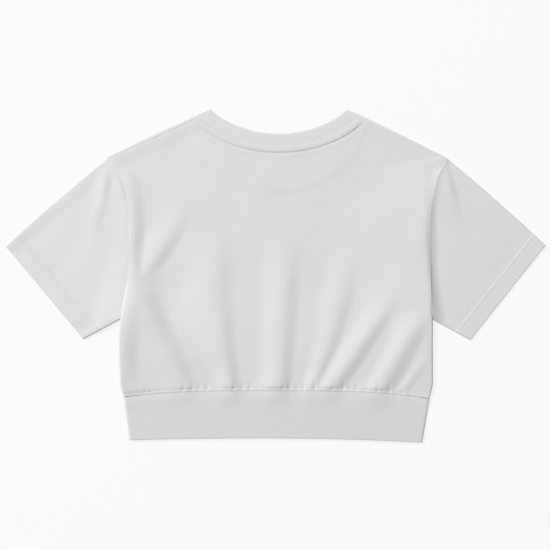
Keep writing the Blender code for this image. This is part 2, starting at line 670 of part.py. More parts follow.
def make_front_panel():
    creases = front_gathers()
    columns = front_columns()
    u, v = panel_grid(columns, FRONT_ROWS)
    plan = body_plan(u, v, False)
    x, y = plan[..., 0], plan[..., 1]
    hollow = gather_dip(x, y - waist_seam(x), creases, FRONT_GATHER_WIDTH)
    seam_z = by_side(x, 0.0, edge_roll(y, LEFT)[0], edge_roll(y, RIGHT)[0]) - GAP
    turned = 1.0 - ease((y - UNDERARM_Y + 6.0) / 6.0)
    distance = np.minimum(x - x[:, :1], x[:, -1:] - x)
    roll = FRONT_ROLL + SIDE_LEAN * (seam_z - FOLD_EDGE + GAP)
    rise = quarter(distance / roll)
    outer_z = hollow + turned * seam_z * (1.0 - rise)
    inner_z = hollow + mix(CLOTH, mix(seam_z, CLOTH, rise), turned)
    shift = turned * inset(distance, CLOTH, FRONT_ROLL) * np.where(u < 0.5, 1.0, -1.0)
    inner_plan = moved(plan, shift, ACROSS)
    rows, cols = u.shape
    outer = [np.dstack((plan, outer_z)).reshape(-1, 3)]
    inner = [np.dstack((inner_plan, inner_z)).reshape(-1, 3)]
    faces = grid_faces(rows, cols)
    count = rows * cols
    for side in (LEFT, RIGHT):
        chosen = np.flatnonzero(columns <= NECK_START + 1e-6 if side == LEFT else columns >= NECK_END - 1e-6)
        if side == LEFT:
            t = 1.0 - columns[chosen] / NECK_START
        else:
            t = (columns[chosen] - NECK_END) / (1.0 - NECK_END)
        strip_outer, strip_inner = shoulder_wrap(t, side)
        outer.append(strip_outer.reshape(-1, 3))
        inner.append(strip_inner.reshape(-1, 3))
        top_row = (rows - 1) * cols + chosen
        wide = len(chosen)
        for k in range(wide - 1):
            a, b = int(top_row[k]), int(top_row[k + 1])
            c, d = count + k + 1, count + k
            faces += [(a, b, c), (a, c, d)]
        faces += grid_faces(len(strip_outer), wide, count)
        count += strip_outer.shape[0] * wide
    return make_wall("front_panel", np.concatenate(outer), np.concatenate(inner), faces, JERSEY)


def shoulder_wrap(t, side):
    """The front panel's turn over the shoulder and its strip on the back: rows of outer and inner points."""
    fold = shoulder_line(np.clip(t, 0.0, 1.0), side, False)
    seam = shoulder_line(np.clip(t, 0.0, 1.0), side, True) + outward(side) * GAP
    outer_rows, inner_rows = [], []
    for degrees in FOLD_TURN:
        turn = math.radians(degrees)
        for radius, rows in ((FOLD_EDGE, outer_rows), (FOLD_EDGE - CLOTH, inner_rows)):
            point = fold + outward(side) * radius * math.sin(turn)
            z = np.full(t.shape, FOLD_EDGE - radius * math.cos(turn))
            rows.append(np.dstack((point[None], z[None]))[0])
    for z, rows in ((2.0 * FOLD_EDGE, outer_rows), (2.0 * FOLD_EDGE - CLOTH, inner_rows)):
        rows.append(np.dstack((seam[None], np.full(t.shape, z)[None]))[0])
    return np.array(outer_rows), np.array(inner_rows)


# ---- Sleeves ------------------------------------------------------------------------------------------
SLEEVE_TOP = (0.0, 0.7, 2.6, 7.0)                        # distances in from a folded edge, upper layer
SLEEVE_BOTTOM = (0.0, 0.7, 3.0)                          # the same, lower layer
SLEEVE_FOLD = SLEEVE_BOTTOM[-1]                          # width of the lower layer's turns
SLEEVE_ROWS = (0.0, 0.014, 0.03, 0.055, 0.09, 0.14, 0.21, 0.3, 0.43, 0.6, 0.8, 1.0)   # shares down to the hem
HEM_ROWS = (HEM_WIDTH + 3.0, HEM_WIDTH - 3.0, 0.0)       # square distances from the cuff


def sleeve_shares(steps, side, back):
    """Shares across a sleeve layer: close at both folds, and level with the body panel's rows between."""
    length = TIP_Y[side] - UNDERARM_Y
    near = np.array(steps) / length
    tip_y = shoulder_ends(side, back)[1][1]
    low_y = float(waist_seam(np.array(side * WAIST_SEAM[0 if side == LEFT else 1][1])))
    rows = np.array(BACK_ROWS if back else FRONT_ROWS) / BACK_ROWS[-1]
    between = (mix(low_y, tip_y, rows) - UNDERARM_Y) / length
    room = near[-1] + 4.0 / length
    between = between[(between > room) & (between < 1.0 - room)]
    return np.concatenate((near, between, 1.0 - near[::-1]))


def cuff_line(row):
    """Unit vector in plan along the cuff, from the underarm to the overarm."""
    return np.array((row[4] - row[2], row[5] - row[3])) / math.dist(row[2:4], row[4:6])


def cuff_distance(plan, row):
    """Square distance in plan from the line of the cuff."""
    edge = cuff_line(row)
    away = plan - np.array(row[2:4])
    return np.abs(away[..., 0] * edge[1] - away[..., 1] * edge[0])


def sleeve_rows(row, s, upper):
    """Shares from armhole to cuff: spread down to the hem, then parallel to the cuff at stated distances."""
    ends = [sleeve_plan(s, np.full_like(s, end), row, upper) for end in (0.0, 1.0)]
    reach = np.linalg.norm(ends[1] - ends[0], axis=-1)
    lean = (ends[1] - ends[0]) / reach[:, None]
    edge = cuff_line(row)
    square = reach * np.abs(lean[:, 0] * edge[1] - lean[:, 1] * edge[0])
    body = np.array(SLEEVE_ROWS)[:, None] * (1.0 - HEM_ROWS[0] / square)[None, :]
    hem = 1.0 - np.array(HEM_ROWS[1:])[:, None] / square[None, :]
    return np.concatenate((body, hem))


def sleeve_layer(row, share, upper):
    """Outer and inner points of one layer: a wall on the sleeve's plan, rolled over at both folds."""
    side = row[1]
    r = sleeve_rows(row, share, upper)
    s = np.broadcast_to(share, r.shape)
    plan = sleeve_plan(s, r, row, upper)
    ends = [sleeve_plan(np.full_like(s, end), r, row, upper) for end in (0.0, 1.0)]
    start, cuff = (sleeve_plan(s, np.full_like(r, end), row, upper) for end in (0.0, 1.0))
    run = r * np.linalg.norm(cuff - start, axis=-1)
    wide = np.linalg.norm(ends[1] - ends[0], axis=-1)
    under, over = s * wide, (1.0 - s) * wide
    hem = HEM_EXTRA * ease((HEM_ROWS[0] - cuff_distance(plan, row)) / (HEM_ROWS[0] - HEM_ROWS[1]))
    wall = CLOTH + hem
    edge = FOLD_EDGE + UNDERARM_LIFT * armhole_height(s, side) * armhole_share(s, run, side)
    if upper:
        level = upper_level(plan[..., 0], plan[..., 1], s, r, run, under, over, side) + 2.0 * hem
        rise = quarter(under / UNDERARM_ROLL) * quarter(over / OVERARM_ROLL)
        outer_z = mix(edge, level + wall - hem, rise)
        inner_z = mix(edge, level - hem, rise)
        shift = inset(under, wall, UNDERARM_ROLL) - inset(over, wall, OVERARM_ROLL)
    else:
        rise = quarter(np.minimum(under, over) / SLEEVE_FOLD)
        outer_z = edge * (1.0 - rise)
        inner_z = mix(edge, wall, rise)
        shift = inset(under, wall, SLEEVE_FOLD) - inset(over, wall, SLEEVE_FOLD)
    inner_plan = moved(plan, shift, (ends[1] - ends[0]) / wide[..., None])
    return np.dstack((plan, outer_z)), np.dstack((inner_plan, inner_z))


def make_sleeve(row):
    """Tube of the lower and the upper layer, joined at the underarm and the overarm folds."""
    name, side = row[0], row[1]
    lower = sleeve_layer(row, sleeve_shares(SLEEVE_BOTTOM, side, False)[:-1], False)
    upper = sleeve_layer(row, sleeve_shares(SLEEVE_TOP, side, True)[::-1][:-1], True)
    outer, inner = (np.concatenate((a, b), axis=1) for a, b in zip(lower, upper))
    faces = grid_faces(outer.shape[0], outer.shape[1], wrap=True)
    return make_wall(name, outer, inner, faces, JERSEY)


# ---- Waistband ----------------------------------------------------------------------------------------
WAISTBAND_EDGE = 4.0                                     # width of its side turns
WAISTBAND_STEPS = (0.0, 0.6, 2.0, 5.0)
WAISTBAND_ROWS = (
    # share of the depth, share of the full thickness
    (0.0, 1.0), (0.12, 1.0), (0.3, 1.0), (0.6, 1.0), (0.965, 1.0), (0.99, 0.85), (1.0, 0.5),
)


def waistband_plan(u, v):
    """Plan point of the waistband: u across it and v from the waist seam down to its folded hem."""
    stations = column(WAISTBAND_ENDS, 0)
    left = np.interp(v, stations, column(WAISTBAND_ENDS, 1))
    right = np.interp(v, stations, column(WAISTBAND_ENDS, 2))
    x = mix(left, right, u)
    drop = by_side(x, WAISTBAND_MIDDLE, WAISTBAND_DROP[LEFT], WAISTBAND_DROP[RIGHT])
    half = by_side(x, WAISTBAND_MIDDLE, WAISTBAND_MIDDLE - left, right - WAISTBAND_MIDDLE)
    bottom = WAISTBAND_BOTTOM - drop * ((x - WAISTBAND_MIDDLE) / half) ** 2
    return np.stack((x, mix(waist_seam(x) - GAP, bottom, v)), axis=-1)


def make_waistband():
    rows = column(WAISTBAND_ROWS, 0)
    full = column(WAISTBAND_ROWS, 1)[:, None]
    wide = WAIST_SEAM[0][1] + WAIST_SEAM[1][1]
    near = np.array(WAISTBAND_STEPS) / wide
    middle_z = WAIST_RIB + GAP / 2.0
    outer, inner = [], []
    for upper, between in ((False, 16), (True, 30)):
        far = 1.0 - near[::-1]
        shares = np.concatenate((near, np.linspace(near[-1], far[0], between)[1:-1], far))
        if upper:
            shares = shares[::-1]
        u, v = np.meshgrid(shares[:-1], rows)
        plan = waistband_plan(u, v)
        distance = np.minimum(u, 1.0 - u) * wide
        rise = quarter(distance / WAISTBAND_EDGE)
        if upper:
            depth = WAIST_SEAM_Y - WAISTBAND_BOTTOM
            lift = waist_bumps(plan[..., 0]) * hump(v * depth / WAIST_BUMP_REACH)
            low, high = WAIST_RIB + GAP + lift, 2.0 * WAIST_RIB + GAP + lift
        else:
            low, high = np.full_like(u, WAIST_RIB), np.zeros_like(u)
        centre = (low + high) / 2.0
        outer_z = mix(middle_z, mix(centre, high, full), rise)
        inner_z = mix(middle_z, mix(centre, low, full), rise)
        shift = inset(distance, WAIST_RIB * full, WAISTBAND_EDGE) * np.where(u < 0.5, 1.0, -1.0)
        inner_plan = moved(plan, shift, ACROSS)
        outer.append(np.dstack((plan, outer_z)))
        inner.append(np.dstack((inner_plan, inner_z)))
    outer = np.concatenate(outer, axis=1)
    inner = np.concatenate(inner, axis=1)
    faces = grid_faces(outer.shape[0], outer.shape[1], wrap=True)
    return make_wall("waistband", outer, inner, faces, RIB_KNIT)


# ---- Neckband -----------------------------------------------------------------------------------------
NECKBAND_SECTION = (
    # share of the width from the seam in, share of half the thickness
    (0.0, 1.0), (0.9, 1.0), (0.975, 0.7), (1.0, 0.0), (0.975, -0.7), (0.9, -1.0), (0.0, -1.0),
)
NECKBAND_TURN = (36.0, 72.0, 108.0, 144.0)               # degrees round the fold at each shoulder


def neckband_section(seam, edge, centre_z, face):
    """One section: width from the seam to the free edge, thickness along the face's direction."""
    across = edge - seam
    points = []
    for share, side in NECKBAND_SECTION:
        plan = seam + across * share + face[:2] * side * NECK_RIB / 2.0
        points.append((plan[0], plan[1], centre_z + face[2] * side * NECK_RIB / 2.0))
    return points


def neckband_fold(angle, back_z, front_z):
    """Sections that turn the band over at a shoulder, from the back layer down to the front one."""
    seam = neck_curve(np.array(angle), "back seam")
    edge = neck_curve(np.array(angle), "back edge")
    along = (edge - seam) / np.linalg.norm(edge - seam)
    out = np.array((-along[1], along[0])) if angle < 1.0 else np.array((along[1], -along[0]))
    sections = []
    for degrees in NECKBAND_TURN:
        turn = math.radians(degrees)
        face = np.array((out[0] * math.sin(turn), out[1] * math.sin(turn), math.cos(turn)))
        move = out * (back_z - front_z) / 2.0 * math.sin(turn)
        centre_z = (back_z + front_z) / 2.0 + (back_z - front_z) / 2.0 * math.cos(turn)
        sections.append(neckband_section(seam + move, edge + move, centre_z, face))
    return sections


def make_neckband():
    front_z = NECK_RIB / 2.0
    back_z = front_z + NECK_RIB + GAP
    up = np.array((0.0, 0.0, 1.0))
    back_angles = panel_neck_angle(neck_columns(back_columns()), True)
    front_angles = panel_neck_angle(neck_columns(front_columns()), False)
    sections = []
    for angle in (0.0, *back_angles, math.pi):
        seam = neck_curve(angle, "back seam")
        sections.append(neckband_section(seam, neck_curve(angle, "back edge"), back_z, up))
    sections += neckband_fold(math.pi, back_z, front_z)
    for angle in front_angles[::-1]:
        seam = neck_curve(angle, "front seam")
        sections.append(neckband_section(seam, neck_curve(angle, "front edge"), front_z, -up))
    sections += neckband_fold(0.0, back_z, front_z)[::-1]
    points = metres(sections)
    around = len(NECKBAND_SECTION)
    faces = grid_faces(len(sections), around, wrap=True)
    last = (len(sections) - 1) * around
    for i in range(around):
        a, b = last + i, last + (i + 1) % around
        c, d = (i + 1) % around, i
        faces += [(a, b, c), (a, c, d)]
    return make_solid("neckband", points, faces, RIB_KNIT)


def main():
    for leftover in list(bpy.data.objects):
        bpy.data.objects.remove(leftover, do_unlink=True)
    make_back_panel()
    make_front_panel()
    for row in SLEEVES:
        make_sleeve(row)
    make_neckband()
    make_waistband()


main()
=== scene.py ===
"""Crop top laid flat with its back up: fine jersey, rib bands and sewing, under a soft studio light.

Lengths are in millimetres until a mesh is made. X runs across the garment, Y from the waistband to the neck
and Z up from the surface that it lies on, as in the frame.
"""
import math

import bpy
import numpy as np
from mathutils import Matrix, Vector
from mathutils.bvhtree import BVHTree


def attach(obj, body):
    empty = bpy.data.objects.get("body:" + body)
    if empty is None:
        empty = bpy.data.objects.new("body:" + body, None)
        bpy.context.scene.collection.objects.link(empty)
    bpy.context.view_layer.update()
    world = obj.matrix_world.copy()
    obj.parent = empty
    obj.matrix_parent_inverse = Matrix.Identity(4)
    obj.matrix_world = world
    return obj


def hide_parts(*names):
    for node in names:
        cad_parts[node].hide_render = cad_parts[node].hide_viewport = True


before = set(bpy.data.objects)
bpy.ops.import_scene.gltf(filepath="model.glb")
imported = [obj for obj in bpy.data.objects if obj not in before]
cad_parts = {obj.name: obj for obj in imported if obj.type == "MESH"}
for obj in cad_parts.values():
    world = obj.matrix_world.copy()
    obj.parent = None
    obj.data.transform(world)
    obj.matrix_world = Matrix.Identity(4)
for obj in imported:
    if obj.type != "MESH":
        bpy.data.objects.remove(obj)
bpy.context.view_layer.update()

MM = 0.001
LEFT, RIGHT = -1, 1
ACROSS = np.array((1.0, 0.0))

# ---- Cloth and clearances -----------------------------------------------------------------------------
CLOTH = 1.2                # jersey wall
NECK_RIB = 1.6             # neckband, rib folded double and pressed
WAIST_RIB = 2.4            # waistband, rib folded double
GAP = 0.3                  # between layers
SEAM = 0.05                # between pieces that are sewn together
BASE = CLOTH + GAP         # lowest underside of the upper layer
SEAM_TAPER = 3.0           # a panel's edge thins out over this width where a sleeve laps under it
SEAM_EXTRA = 0.5           # extra wall over a seam allowance
HEM_EXTRA = 0.3            # extra wall of a turned sleeve hem
HEM_WIDTH = 25.0
FOLD_EDGE = 1.65           # height of the outermost point of a folded edge

# ---- Body outline -------------------------------------------------------------------------------------
BODY_EDGES = (
    # height y, left edge x, right edge x
    (-176.0, -219.0, 223.2),
    (-172.0, -220.4, 224.6),
    (-162.0, -224.0, 227.7),
    (-136.0, -226.3, 228.7),
    (-101.0, -227.4, 228.4),
    (-63.0, -224.8, 227.9),
    (-34.0, -219.7, 225.8),
    (9.0, -214.9, 224.7),
    (63.0, -212.9, 224.8),
    (101.0, -214.6, 226.4),
    (125.0, -219.7, 230.8),
    (143.0, -226.2, 236.2),
    (162.0, -236.0, 245.8),
    (174.0, -243.8, 253.6),
)
UNDERARM_Y = -63.0
ARMHOLE_START = 10.0       # length over which the side fold turns into the armhole seam
BOW_FADE = 0.255           # share of a panel's width over which the bow of its side edges fades
CORNER_SHARE = 0.05        # share of a side over which its lower corner slides to the end of the waist seam
WAIST_SEAM_Y = -165.8      # middle of the waist seam
WAIST_HALF = {LEFT: 220.4, RIGHT: 224.0}    # from the middle to each end of the waist seam
WAIST_DROP = {LEFT: 9.0, RIGHT: 11.2}       # how far it has sunk there
WAIST_WIDE = WAIST_HALF[LEFT] + WAIST_HALF[RIGHT]
WAIST_POWER = 3.2

# ---- Shoulders and neck -------------------------------------------------------------------------------
NECK_START, NECK_END = 0.263, 0.744    # share of a panel's top edge where the neck begins and ends
TIP_Y = {LEFT: 173.0, RIGHT: 169.7}    # where the shoulder fold meets the sleeve
FOLD_BOW, SEAM_BOW = 0.6, -0.9         # bow of the shoulder fold and of the shoulder seam
FOLD_INSET = 0.5                       # how far below that point the body's shoulder ends
TIP_STRIP = {LEFT: 1.6, RIGHT: 0.85}   # fold to seam at the sleeve
NECK_STRIP_ANGLE = {LEFT: 0.19, RIGHT: 0.245}    # fold to seam at the neck, as an angle round the neck
NECK_CURVES = {
    # name: left x, left y, right x, right y, depth, power
    "back seam": (-112.6, 233.4, 122.2, 232.6, 45.4, 1.5),
    "back edge": (-92.8, 241.4, 101.6, 241.2, 34.2, 1.7),
    "front seam": (-112.6, 233.4, 122.2, 232.6, 103.2, 1.1),
    "front edge": (-92.8, 241.4, 101.6, 241.2, 91.2, 1.15),
}

# ---- Sleeves and waistband ----------------------------------------------------------------------------
SLEEVES = (
    # name, side, lower cuff x, y, upper cuff x, y
    ("sleeve_left", LEFT, -278.4, -91.6, -392.2, 44.2),
    ("sleeve_right", RIGHT, 282.8, -92.8, 392.2, 44.9),
)
OVERARM_BOW = 1.7
LAP = 2.0                  # how far a sleeve's edge reaches under the back panel
LAP_DIP = 1.3              # how far it sinks there
LAP_TURN = 0.8             # how far outside the panel's edge it begins to sink
LAP_START = (0.02, 0.03)   # share up the armhole where the lap begins, and over which it widens
LAP_END = (0.93, 0.06)     # where it ends, and over which it narrows
UNDERARM_LIFT = 0.45       # share of the armhole's height that the underarm fold takes
WAISTBAND_ENDS = (
    # share of the depth, left x, right x
    (0.0, -220.4, 224.0),
    (1.0, -211.7, 213.2),
)
WAISTBAND_MIDDLE = -20.0   # x of its shallowest point
WAISTBAND_BOTTOM = -235.0
WAISTBAND_DROP = {LEFT: 2.8, RIGHT: 6.4}

# ---- How the edges of the back panel stand up ---------------------------------------------------------
EDGE_ROLLS = (
    # y,    left: foot, crest, roll, fade,   right: foot, crest, roll, fade
    (-172.0, 1.65, 0.8, 2.6, 26.0, 1.65, 1.2, 2.6, 30.0),
    (-150.0, 2.0, 2.6, 2.6, 28.0, 2.4, 2.4, 3.0, 60.0),
    (-121.0, 2.6, 4.2, 2.6, 29.0, 3.3, 4.0, 3.0, 90.0),
    (-101.0, 3.4, 4.4, 2.6, 31.0, 4.4, 5.0, 3.0, 110.0),
    (-78.0, 5.6, 4.2, 2.8, 31.0, 6.2, 6.6, 3.2, 130.0),
    (-56.0, 8.4, 2.6, 3.2, 28.0, 9.4, 7.8, 3.2, 145.0),
    (-34.0, 9.0, 1.2, 4.0, 26.0, 10.6, 8.4, 4.6, 155.0),
    (-12.0, 8.4, 1.0, 4.4, 24.0, 9.8, 8.0, 6.2, 160.0),
    (9.0, 7.4, 3.4, 4.8, 18.0, 8.2, 7.4, 7.2, 165.0),
    (38.0, 6.3, 4.1, 4.8, 19.0, 6.9, 6.8, 9.2, 165.0),
    (63.0, 5.6, 3.8, 4.8, 21.0, 6.7, 6.4, 9.6, 160.0),
    (101.0, 5.2, 3.0, 4.8, 20.0, 6.9, 5.2, 9.6, 140.0),
    (125.0, 4.8, 2.2, 6.0, 19.0, 7.0, 4.0, 10.0, 100.0),
    (143.0, 4.5, 1.9, 9.0, 17.0, 6.6, 2.5, 11.0, 90.0),
    (160.0, 4.0, 1.2, 6.0, 12.0, 4.8, 1.4, 12.0, 60.0),
    (174.0, 3.4, 0.6, 3.0, 10.0, 3.8, 0.8, 3.0, 10.0),
)

EDGE_SHELF = {LEFT: 1.0, RIGHT: 3.5}   # how far the edges stay level before they fade inwards
EDGE_FALL = {LEFT: 0.0, RIGHT: 0.6}    # 0 where the fade is rounded, 1 where it is steepest at the edge

# ---- Folds of the back: a crest with a long rise on its left and a shorter fall on its right -----------
FOLD_COLUMNS = ("top x", "top y", "middle x", "middle y", "foot x", "foot y",
                "middle height", "foot height", "middle rise", "foot rise", "middle fall", "foot fall")
BACK_FOLDS = (
    (-124.0, 128.0, -186.5, 12.0, -206.0, -15.0, 3.6, 4.4, 40.0, 40.0, 26.0, 48.0),
    (-214.0, 0.0, -180.0, -66.0, -131.0, -162.0, 6.0, 3.6, 60.0, 40.0, 34.0, 25.0),
    (-218.0, 20.0, -226.0, -70.0, -222.0, -165.0, 5.6, 3.4, 10.0, 10.0, 84.0, 84.0),
    (-88.5, 104.0, -86.0, -34.0, -64.5, -163.0, 3.2, 3.4, 62.0, 27.0, 30.0, 17.0),
    (16.0, 75.0, 11.6, -34.0, 3.2, -163.0, 3.5, 4.0, 40.0, 34.0, 26.0, 23.0),
    (101.5, 53.0, 90.0, -46.0, 50.8, -163.0, 2.6, 2.1, 34.0, 17.0, 24.0, 13.0),
    (172.6, -12.0, 127.6, -92.0, 78.3, -163.0, 3.7, 3.9, 32.0, 28.0, 24.0, 25.0),
    (212.0, -41.0, 189.5, -92.0, 150.5, -163.0, 4.0, 4.1, 31.0, 30.0, 27.0, 28.0),
    (220.0, -107.0, 204.5, -136.0, 184.0, -165.0, 0.9, 1.2, 12.0, 12.0, 14.0, 14.0),
)
FOLD_END = 60.0            # a fold that stops short of the seam dies away over this length
WAIST_PUFF = 1.5           # the upper layer's rise to the waistband
WAIST_PUFF_REACH = 70.0
SEAM_SHARE = 0.45          # share of the folds' height that is left at the waist seam
SEAM_SHARE_REACH = 9.0
BLOUSE = (
    # x, how far the back stands up over the waist seam where it blouses
    (-230.0, 0.5),
    (-170.0, 2.6),
    (-120.0, 4.0),
    (-60.0, 2.4),
    (60.0, 2.2),
    (150.0, 3.6),
    (230.0, 2.6),
)
BLOUSE_FALL, BLOUSE_FADE = 60.0, 110.0    # length of its fall to the seam, and of its fading above
WAIST_BUMPS = (
    # x, height, half width: where the large folds run on into the waistband
    (-154.0, 0.9, 34.0),
    (-72.0, 1.1, 34.0),
    (-4.0, 1.1, 32.0),
    (62.0, 1.0, 32.0),
    (134.0, 1.3, 36.0),
)
WAIST_BUMP_REACH = 40.0
GATHERS = (
    # x, depth, reach up from the waist seam
    (-188.5, 0.8, 16.0), (-181.3, 0.7, 12.0), (-133.4, 1.0, 18.0), (-120.4, 1.1, 20.0),
    (-110.2, 0.9, 14.0), (-98.6, 1.2, 22.0), (-59.5, 1.1, 20.0), (-47.9, 0.9, 16.0),
    (-36.3, 1.0, 18.0), (11.6, 0.9, 14.0), (20.3, 1.2, 22.0), (31.9, 0.9, 14.0),
    (40.6, 1.0, 16.0), (56.6, 1.2, 22.0), (82.7, 0.9, 16.0), (98.6, 1.2, 20.0),
    (107.3, 0.9, 14.0), (117.5, 1.1, 18.0), (132.0, 0.9, 14.0), (147.9, 1.0, 18.0),
    (165.3, 1.2, 20.0), (184.2, 0.9, 16.0),
)
GATHER_WIDTH = 3.8
GATHER_START = 2.6         # they set in over this height, so that the seam itself stays even
FRONT_GATHERS = 13         # similar ones under the front, as shallow hollows clear of the floor
FRONT_GATHER_DEPTH = 0.6
FRONT_GATHER_REACH = 26.0
FRONT_GATHER_WIDTH = 6.0
FRONT_GATHER_ENDS = (-195.0, 198.0)
FRONT_GATHER_DRIFT = (7.0, 2.4, 0.0)    # how far they wander off even places: size, turn for each, start
FRONT_GATHER_CHANGE = (0.3, 1.7, 1.0)   # and how their reach varies, as a share of it

# ---- The front neckband, felt through the back ---------------------------------------------------------
NECK_PRINT = 0.5
NECK_PRINT_EDGE = (1.03, 1.15)   # where it dies away, as shares of the way out to the front neck seam
SEAM_LIFT = 1.0            # upper layer's rise to the neck and shoulder seams
SEAM_LIFT_REACH = 20.0

SLEEVE_FOLDS = {
    LEFT: (
        (-238.0, 182.0, -246.5, 134.0, -264.0, 66.0, 1.6, 0.4, 20.0, 18.0, 10.0, 14.0),
        (-226.0, 0.0, -234.0, -30.0, -250.0, -70.0, 0.5, 0.8, 16.0, 18.0, 10.0, 12.0),
    ),
    RIGHT: (
        (236.0, 190.0, 251.0, 128.0, 261.0, 76.0, 2.4, 0.5, 60.0, 30.0, 13.0, 20.0),
    ),
}
SLEEVE_EDGES = (
    # share of the length, overarm crest, underarm crest
    (0.0, 0.3, 0.5),
    (0.2, 0.8, 0.8),
    (1.0, 1.0, 1.0),
)
OVERARM_ROLL, OVERARM_FADE = 2.6, 16.0
UNDERARM_ROLL, UNDERARM_FADE = 3.0, 14.0
SLEEVE_PUFF = {LEFT: 1.5, RIGHT: 0.3}    # how far the sleeves stand up between their folds
PUFF_REACH = 150.0
PUFF_EDGE = 0.22           # share of the width over which they do beside each fold
FOLD_CALM = 12.0           # a sleeve's folds die away over this width beside its edges
SEAM_CALM = 4.0            # and over this one beside the armhole
ARMHOLE_REACH = (
    # y, how far the sleeve's rise to the left and to the right armhole reaches down the sleeve
    (-63.0, 60.0, 27.0),
    (-30.0, 66.0, 24.0),
    (9.0, 58.0, 18.0),
    (40.0, 46.0, 17.0),
    (100.0, 32.0, 14.0),
    (170.0, 28.0, 10.0),
)
ARMHOLE_ROUND = {LEFT: 0.8, RIGHT: 0.0}  # 0 where that rise is steepest at the armhole, 1 where it is rounded


# ---- Curves and profiles ------------------------------------------------------------------------------
def ease(t):
    """0 to 1 with flat ends."""
    t = np.clip(t, 0.0, 1.0)
    return t * t * (3.0 - 2.0 * t)


def hump(q):
    """Squared cosine: 1 at q = 0, falling to 0 at q = 1 on either side."""
    return np.cos(np.clip(np.abs(q), 0.0, 1.0) * math.pi / 2) ** 2


def quarter(q):
    """Quarter circle: 0 at q = 0 with a steep start, 1 from q = 1 on."""
    q = np.clip(q, 0.0, 1.0)
    return np.sqrt(1.0 - (1.0 - q) ** 2)


def mix(a, b, t):
    return a * (1.0 - t) + b * t


def through(at, stations, values):
    """Smooth curve through the values at the stations, cubic between neighbours."""
    stations = np.asarray(stations, float)
    values = np.asarray(values, float)
    slopes = np.gradient(values, stations)
    at = np.clip(at, stations[0], stations[-1])
    i = np.clip(np.searchsorted(stations, at, side="right") - 1, 0, len(stations) - 2)
    span = stations[i + 1] - stations[i]
    t = (at - stations[i]) / span
    start = (1.0 + 2.0 * t) * (1.0 - t) ** 2 * values[i] + t * (1.0 - t) ** 2 * span * slopes[i]
    end = t * t * (3.0 - 2.0 * t) * values[i + 1] + t * t * (t - 1.0) * span * slopes[i + 1]
    return start + end


def column(table, k):
    return np.array([row[k] for row in table], float)


def curved(at, table, k):
    """The table's k-th column as a smooth curve over its first."""
    return through(at, column(table, 0), column(table, k))


def straight(at, table, k):
    """The same with straight lines from row to row."""
    return np.interp(at, column(table, 0), column(table, k))


def body_edge(y, side):
    return curved(y, BODY_EDGES, 1 if side == LEFT else 2)


def by_side(x, middle, left, right):
    return np.where(x < middle, left, right)


def waist_seam(x):
    """The seam sags towards the sides with a power of the distance from the middle."""
    half = by_side(x, 0.0, WAIST_HALF[LEFT], WAIST_HALF[RIGHT])
    drop = by_side(x, 0.0, WAIST_DROP[LEFT], WAIST_DROP[RIGHT])
    return WAIST_SEAM_Y - drop * np.abs(x / half) ** WAIST_POWER


def neck_curve(angle, name, clear=0.0):
    """Half round the neck, from angle 0 at the left shoulder to pi at the right one."""
    left_x, left_y, right_x, right_y, depth, power = NECK_CURVES[name]
    across = (1.0 - np.cos(angle)) / 2.0
    x = mix(left_x - clear, right_x + clear, across)
    y = mix(left_y, right_y, across) - (depth + clear) * np.clip(np.sin(angle), 0.0, 1.0) ** power
    return np.stack((x, y), axis=-1)


def neck_angle(share):
    """Angle round the neck for a share of the way across, denser near the shoulders."""
    share = np.clip(share, 0.0, 1.0)
    return (np.arccos(1.0 - 2.0 * share) + math.pi * share) / 2.0


def shoulder_ends(side, seam):
    """Neck end and sleeve end of the shoulder seam, or of the line that the front panel folds over."""
    start = NECK_STRIP_ANGLE[side] if seam else 0.0
    angle = start if side == LEFT else math.pi - start
    neck = neck_curve(np.array(angle), "back seam", SEAM)
    fold_y = TIP_Y[side] - FOLD_INSET
    y = fold_y - TIP_STRIP[side] if seam else fold_y
    tip = np.array((float(body_edge(y, side)), y))
    return neck, tip


def outward(side):
    """Unit vector in plan, across the shoulder fold and away from the garment."""
    neck, tip = shoulder_ends(side, False)
    along = (tip - neck) / np.linalg.norm(tip - neck)
    return side * np.array((-along[1], along[0]))


def shoulder_line(t, side, seam):
    """Bowed line from the neck, t = 0, to the sleeve, t = 1."""
    neck, tip = shoulder_ends(side, seam)
    t = t[..., None]
    return mix(neck, tip, t) + outward(side) * (SEAM_BOW if seam else FOLD_BOW) * 4.0 * t * (1.0 - t)


def panel_neck_angle(u, back):
    """Angle round the neck where a body panel's share u across meets its neck seam."""
    angle = neck_angle((u - NECK_START) / (NECK_END - NECK_START))
    if not back:
        return angle
    return mix(NECK_STRIP_ANGLE[LEFT], math.pi - NECK_STRIP_ANGLE[RIGHT], angle / math.pi)


def panel_top(u, back):
    """Top edge of a body panel: left shoulder, neck, right shoulder."""
    left = shoulder_line(np.clip(1.0 - u / NECK_START, 0.0, 1.0), LEFT, back)
    right = shoulder_line(np.clip((u - NECK_END) / (1.0 - NECK_END), 0.0, 1.0), RIGHT, back)
    middle = neck_curve(panel_neck_angle(u, back), "back seam" if back else "front seam", SEAM)
    u = u[..., None]
    return np.where(u < NECK_START, left, np.where(u > NECK_END, right, middle))


def patch(u, v, bottom, top, left, right):
    """Plan patch: bottom blends into top, and each side's own bow fades fast with the distance from it."""
    u1 = u[..., None]
    v1 = v[..., None]
    zero = np.zeros_like(u)
    one = np.ones_like(u)
    left_bow = left(v) - mix(bottom(zero), top(zero), v1)
    right_bow = right(v) - mix(bottom(one), top(one), v1)
    bow_left = np.clip(1.0 - u1 / BOW_FADE, 0.0, 1.0) ** 2
    bow_right = np.clip(1.0 - (1.0 - u1) / BOW_FADE, 0.0, 1.0) ** 2
    return mix(bottom(u), top(u), v1) + left_bow * bow_left + right_bow * bow_right


